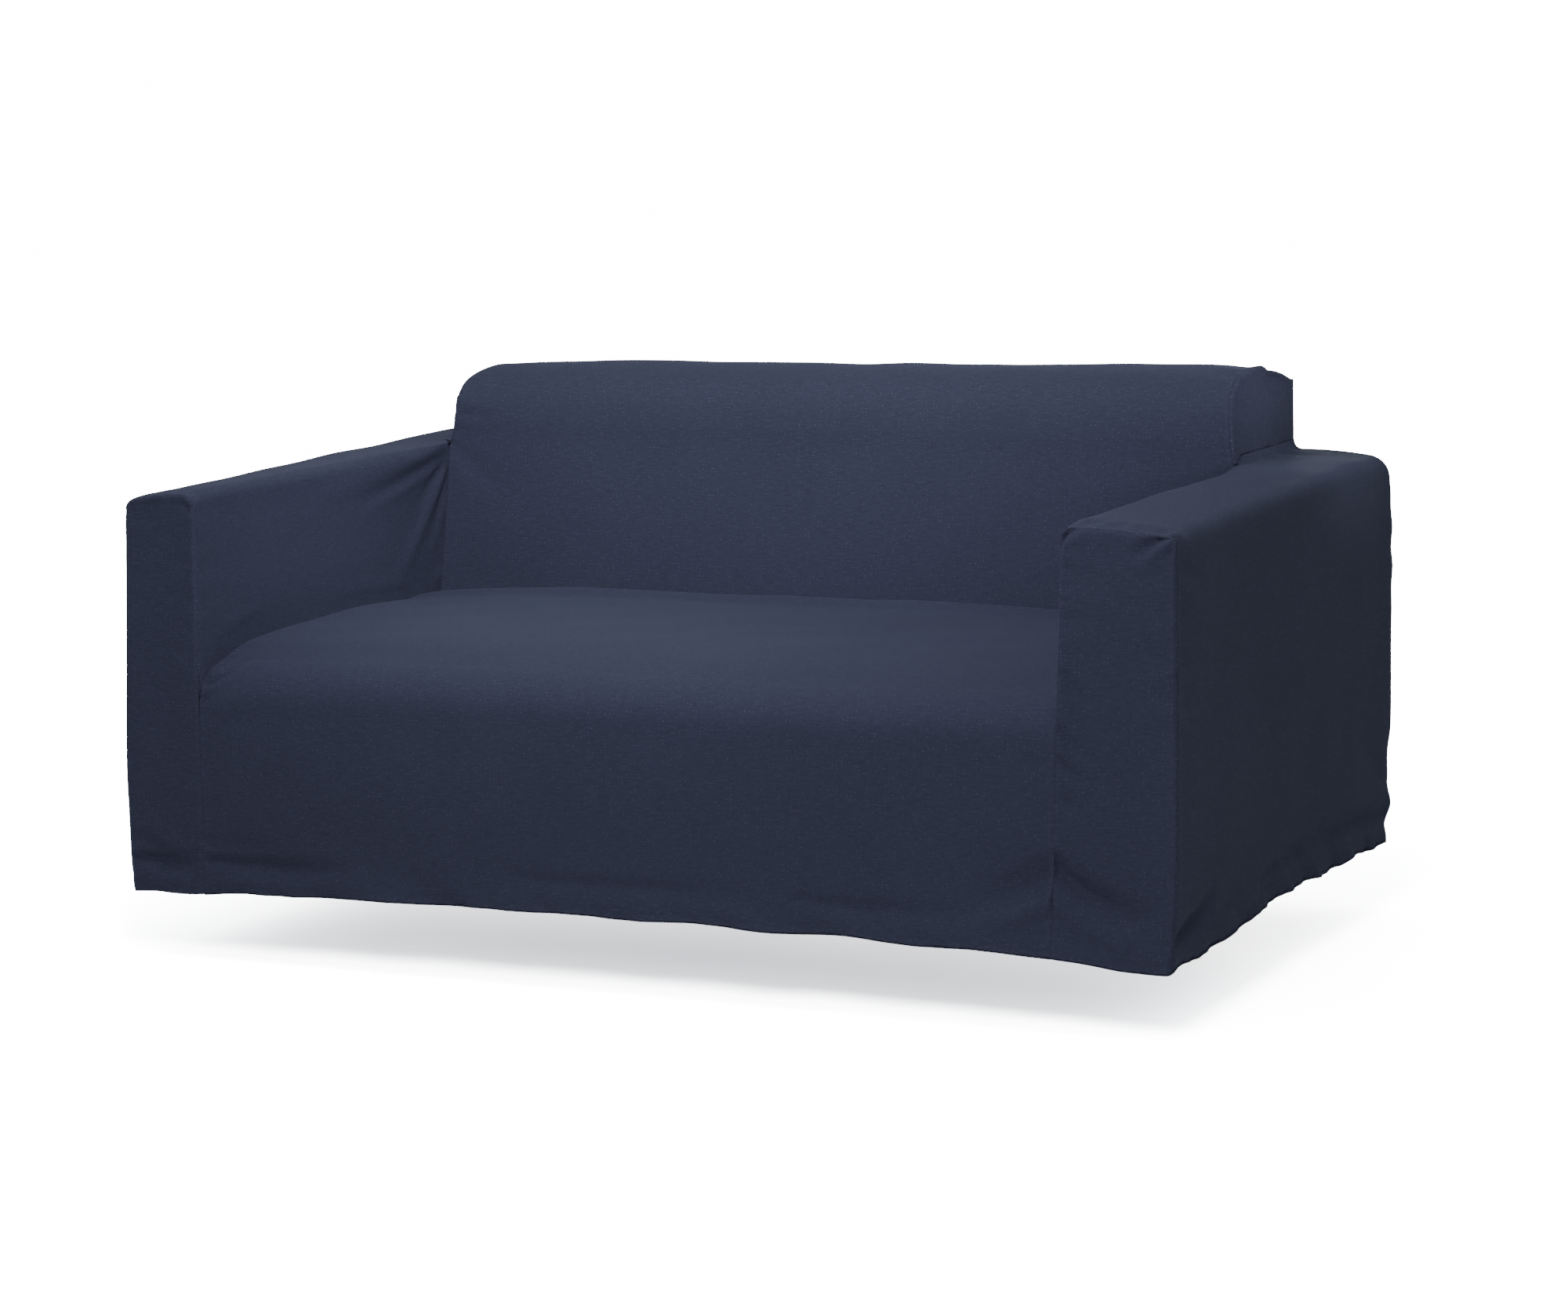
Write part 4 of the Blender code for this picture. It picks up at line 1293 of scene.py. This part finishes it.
LEG_HEIGHT = 0.091  # the sofa's legs, which aren't modelled, hold the hem this far above the floor
AZIMUTH, ELEVATION, ROLL = 25.07, 8.17, -0.85  # degrees
CAMERA_DISTANCE = 5.789
CAMERA_TARGET = (0.0259, -0.005, 0.3021)
LENS, SENSOR = 97.33, 36.0  # mm
SURROUND_STRENGTH = 16.0  # of the white seen around the floor
FLOOR_GAIN = 34.0  # the floor looks this much brighter than the light it gives back
FLOOR_SIZE = 40.0  # half its side
FADE_FROM, FADE_TO = 1.0, 3.0  # between these distances it turns into the white surround
WORLD_COLOUR, WORLD_STRENGTH = (0.93, 0.96, 1.0, 1.0), 0.40
WHITE = (1.0, 1.0, 1.0, 1.0)
SOFT_LIGHTS = (
    # name, place, target, width, watts
    ("overhead", (-0.1, -0.6, 1.6), (0.0, 0.0, 0.3), 1.2, 15.0),
    ("front_right", (1.0, -2.4, 1.9), (-0.3, 0.2, 0.6), 1.0, 31.0),
    ("rear", (-0.5, 3.4, 0.5), (0.0, 0.45, 0.3), 0.9, 42.0),
)
SPOTS = (
    # name, place, target, cone in degrees, radius, watts
    ("on_back", (1.2, -3.5, 2.2), (-0.10, 0.25, 0.73), 22.0, 0.30, 350.0),
    ("on_arm", (1.6, -1.2, 1.1), (-0.60, -0.12, 0.46), 18.0, 0.25, 150.0),
    ("on_back_end", (3.0, -0.3, 1.05), (0.60, 0.30, 0.655), 7.4, 0.15, 330.0),
)


def make_camera():
    a, e, r = (math.radians(v) for v in (AZIMUTH, ELEVATION, ROLL))
    back = np.array([math.sin(a) * math.cos(e), -math.cos(a) * math.cos(e), math.sin(e)])
    right = np.array([math.cos(a), math.sin(a), 0.0])
    up = np.cross(back, right)
    axes = (right * math.cos(r) + up * math.sin(r), up * math.cos(r) - right * math.sin(r), back)
    data = bpy.data.cameras.new("camera")
    data.lens, data.sensor_width, data.sensor_fit = LENS, SENSOR, "HORIZONTAL"
    camera = bpy.data.objects.new("camera", data)
    matrix = np.eye(4)
    matrix[:3, :3] = np.column_stack(axes)
    matrix[:3, 3] = np.array(CAMERA_TARGET) + CAMERA_DISTANCE * back
    camera.matrix_world = Matrix(matrix.tolist())
    bpy.context.scene.collection.objects.link(camera)
    bpy.context.scene.camera = camera


def aim(light, place, target):
    direction = np.array(target, float) - np.array(place, float)
    light.location = place
    light.rotation_euler = Vector(direction).to_track_quat("-Z", "Y").to_euler()
    bpy.context.scene.collection.objects.link(light)


def make_soft_light(name, place, target, size, power):
    data = bpy.data.lights.new(name, "AREA")
    data.shape, data.size, data.energy = "DISK", size, power
    aim(bpy.data.objects.new(name, data), place, target)


def make_spot(name, place, target, angle, radius, power):
    data = bpy.data.lights.new(name, "SPOT")
    data.spot_size, data.spot_blend = math.radians(angle), 1.0
    data.shadow_soft_size, data.energy = radius, power
    aim(bpy.data.objects.new(name, data), place, target)


def make_floor(colour):
    size, low = FLOOR_SIZE, -LEG_HEIGHT
    data = bpy.data.meshes.new("floor")
    corners = [(-size, -size, low), (size, -size, low), (size, size, low), (-size, size, low)]
    data.from_pydata(corners, [], [(0, 1, 2, 3)])
    material = bpy.data.materials.new("floor_paper")
    n = Nodes(material)
    shader = material.node_tree.nodes["Principled BSDF"]
    shader.inputs["Base Color"].default_value = tuple(colour) + (1.0,)
    shader.inputs["Roughness"].default_value = 0.9
    shader.inputs["Specular IOR Level"].default_value = 0.1
    lit = n.add("ShaderNodeBsdfDiffuse", {"Color": (FLOOR_GAIN, FLOOR_GAIN, FLOOR_GAIN, 1.0)})
    white = n.add("ShaderNodeEmission", {"Color": WHITE, "Strength": SURROUND_STRENGTH})
    position = n.add("ShaderNodeNewGeometry").outputs["Position"]
    far = n.add("ShaderNodeVectorMath", {0: position}, operation="LENGTH").outputs["Value"]
    limits = {0: far, 1: FADE_FROM, 2: FADE_TO, 3: 0.0, 4: 1.0}
    fade = n.add("ShaderNodeMapRange", limits, interpolation_type="SMOOTHSTEP").outputs[0]
    seen = n.mixed(fade, lit, white)
    n.join(n.seen_as(shader, seen).outputs[0], "Material Output", "Surface")
    data.materials.append(material)
    floor = bpy.data.objects.new("floor", data)
    bpy.context.scene.collection.objects.link(floor)


def make_world():
    world = bpy.data.worlds.new("studio")
    bpy.context.scene.world = world
    n = Nodes(world)
    background = world.node_tree.nodes["Background"]
    background.inputs["Color"].default_value = WORLD_COLOUR
    background.inputs["Strength"].default_value = WORLD_STRENGTH
    bright = n.add("ShaderNodeBackground", {"Color": WHITE, "Strength": SURROUND_STRENGTH})
    n.join(n.seen_as(background, bright).outputs[0], "World Output", "Surface")


class SetStage(bpy.types.Operator):
    """Sets up the camera, the pale floor and the soft studio light"""

    bl_idname = "slipcover.stage"
    bl_label = "Stage"

    def execute(self, context):
        make_camera()
        make_floor(context.scene.slipcover_colours.floor)
        make_world()
        for light in SOFT_LIGHTS:
            make_soft_light(*light)
        for light in SPOTS:
            make_spot(*light)
        return {"FINISHED"}


class SlipcoverPanel(bpy.types.Panel):
    """Sizes, colours and pieces of the cover"""

    bl_idname = "VIEW3D_PT_slipcover"
    bl_label = "Slipcover"
    bl_space_type = "VIEW_3D"
    bl_region_type = "UI"
    bl_category = "Slipcover"

    def draw(self, context):
        layout = self.layout
        for settings in (context.scene.slipcover_sizes, context.scene.slipcover_colours):
            column = layout.column()
            for name in settings.__annotations__:
                column.prop(settings, name)
        for piece in PIECES:
            layout.operator(piece.bl_idname)


PIECES = (
    SewSeatApron, SewInsideBack, SewOutsideBack, SewArms, SewArmFronts, SewBackEnds, SetStage
)
CLASSES = (SlipcoverSizes, SlipcoverColours) + PIECES + (SlipcoverPanel,)


def register():
    for item in CLASSES:
        bpy.utils.register_class(item)
    bpy.types.Scene.slipcover_sizes = bpy.props.PointerProperty(type=SlipcoverSizes)
    bpy.types.Scene.slipcover_colours = bpy.props.PointerProperty(type=SlipcoverColours)


def unregister():
    del bpy.types.Scene.slipcover_colours
    del bpy.types.Scene.slipcover_sizes
    for item in reversed(CLASSES):
        bpy.utils.unregister_class(item)


def main():
    register()
    bpy.ops.slipcover.seat_apron()
    bpy.ops.slipcover.inside_back()
    bpy.ops.slipcover.outside_back()
    bpy.ops.slipcover.arms()
    bpy.ops.slipcover.arm_fronts()
    bpy.ops.slipcover.back_ends()
    bpy.ops.slipcover.stage()


if __name__ == "__main__":
    main()
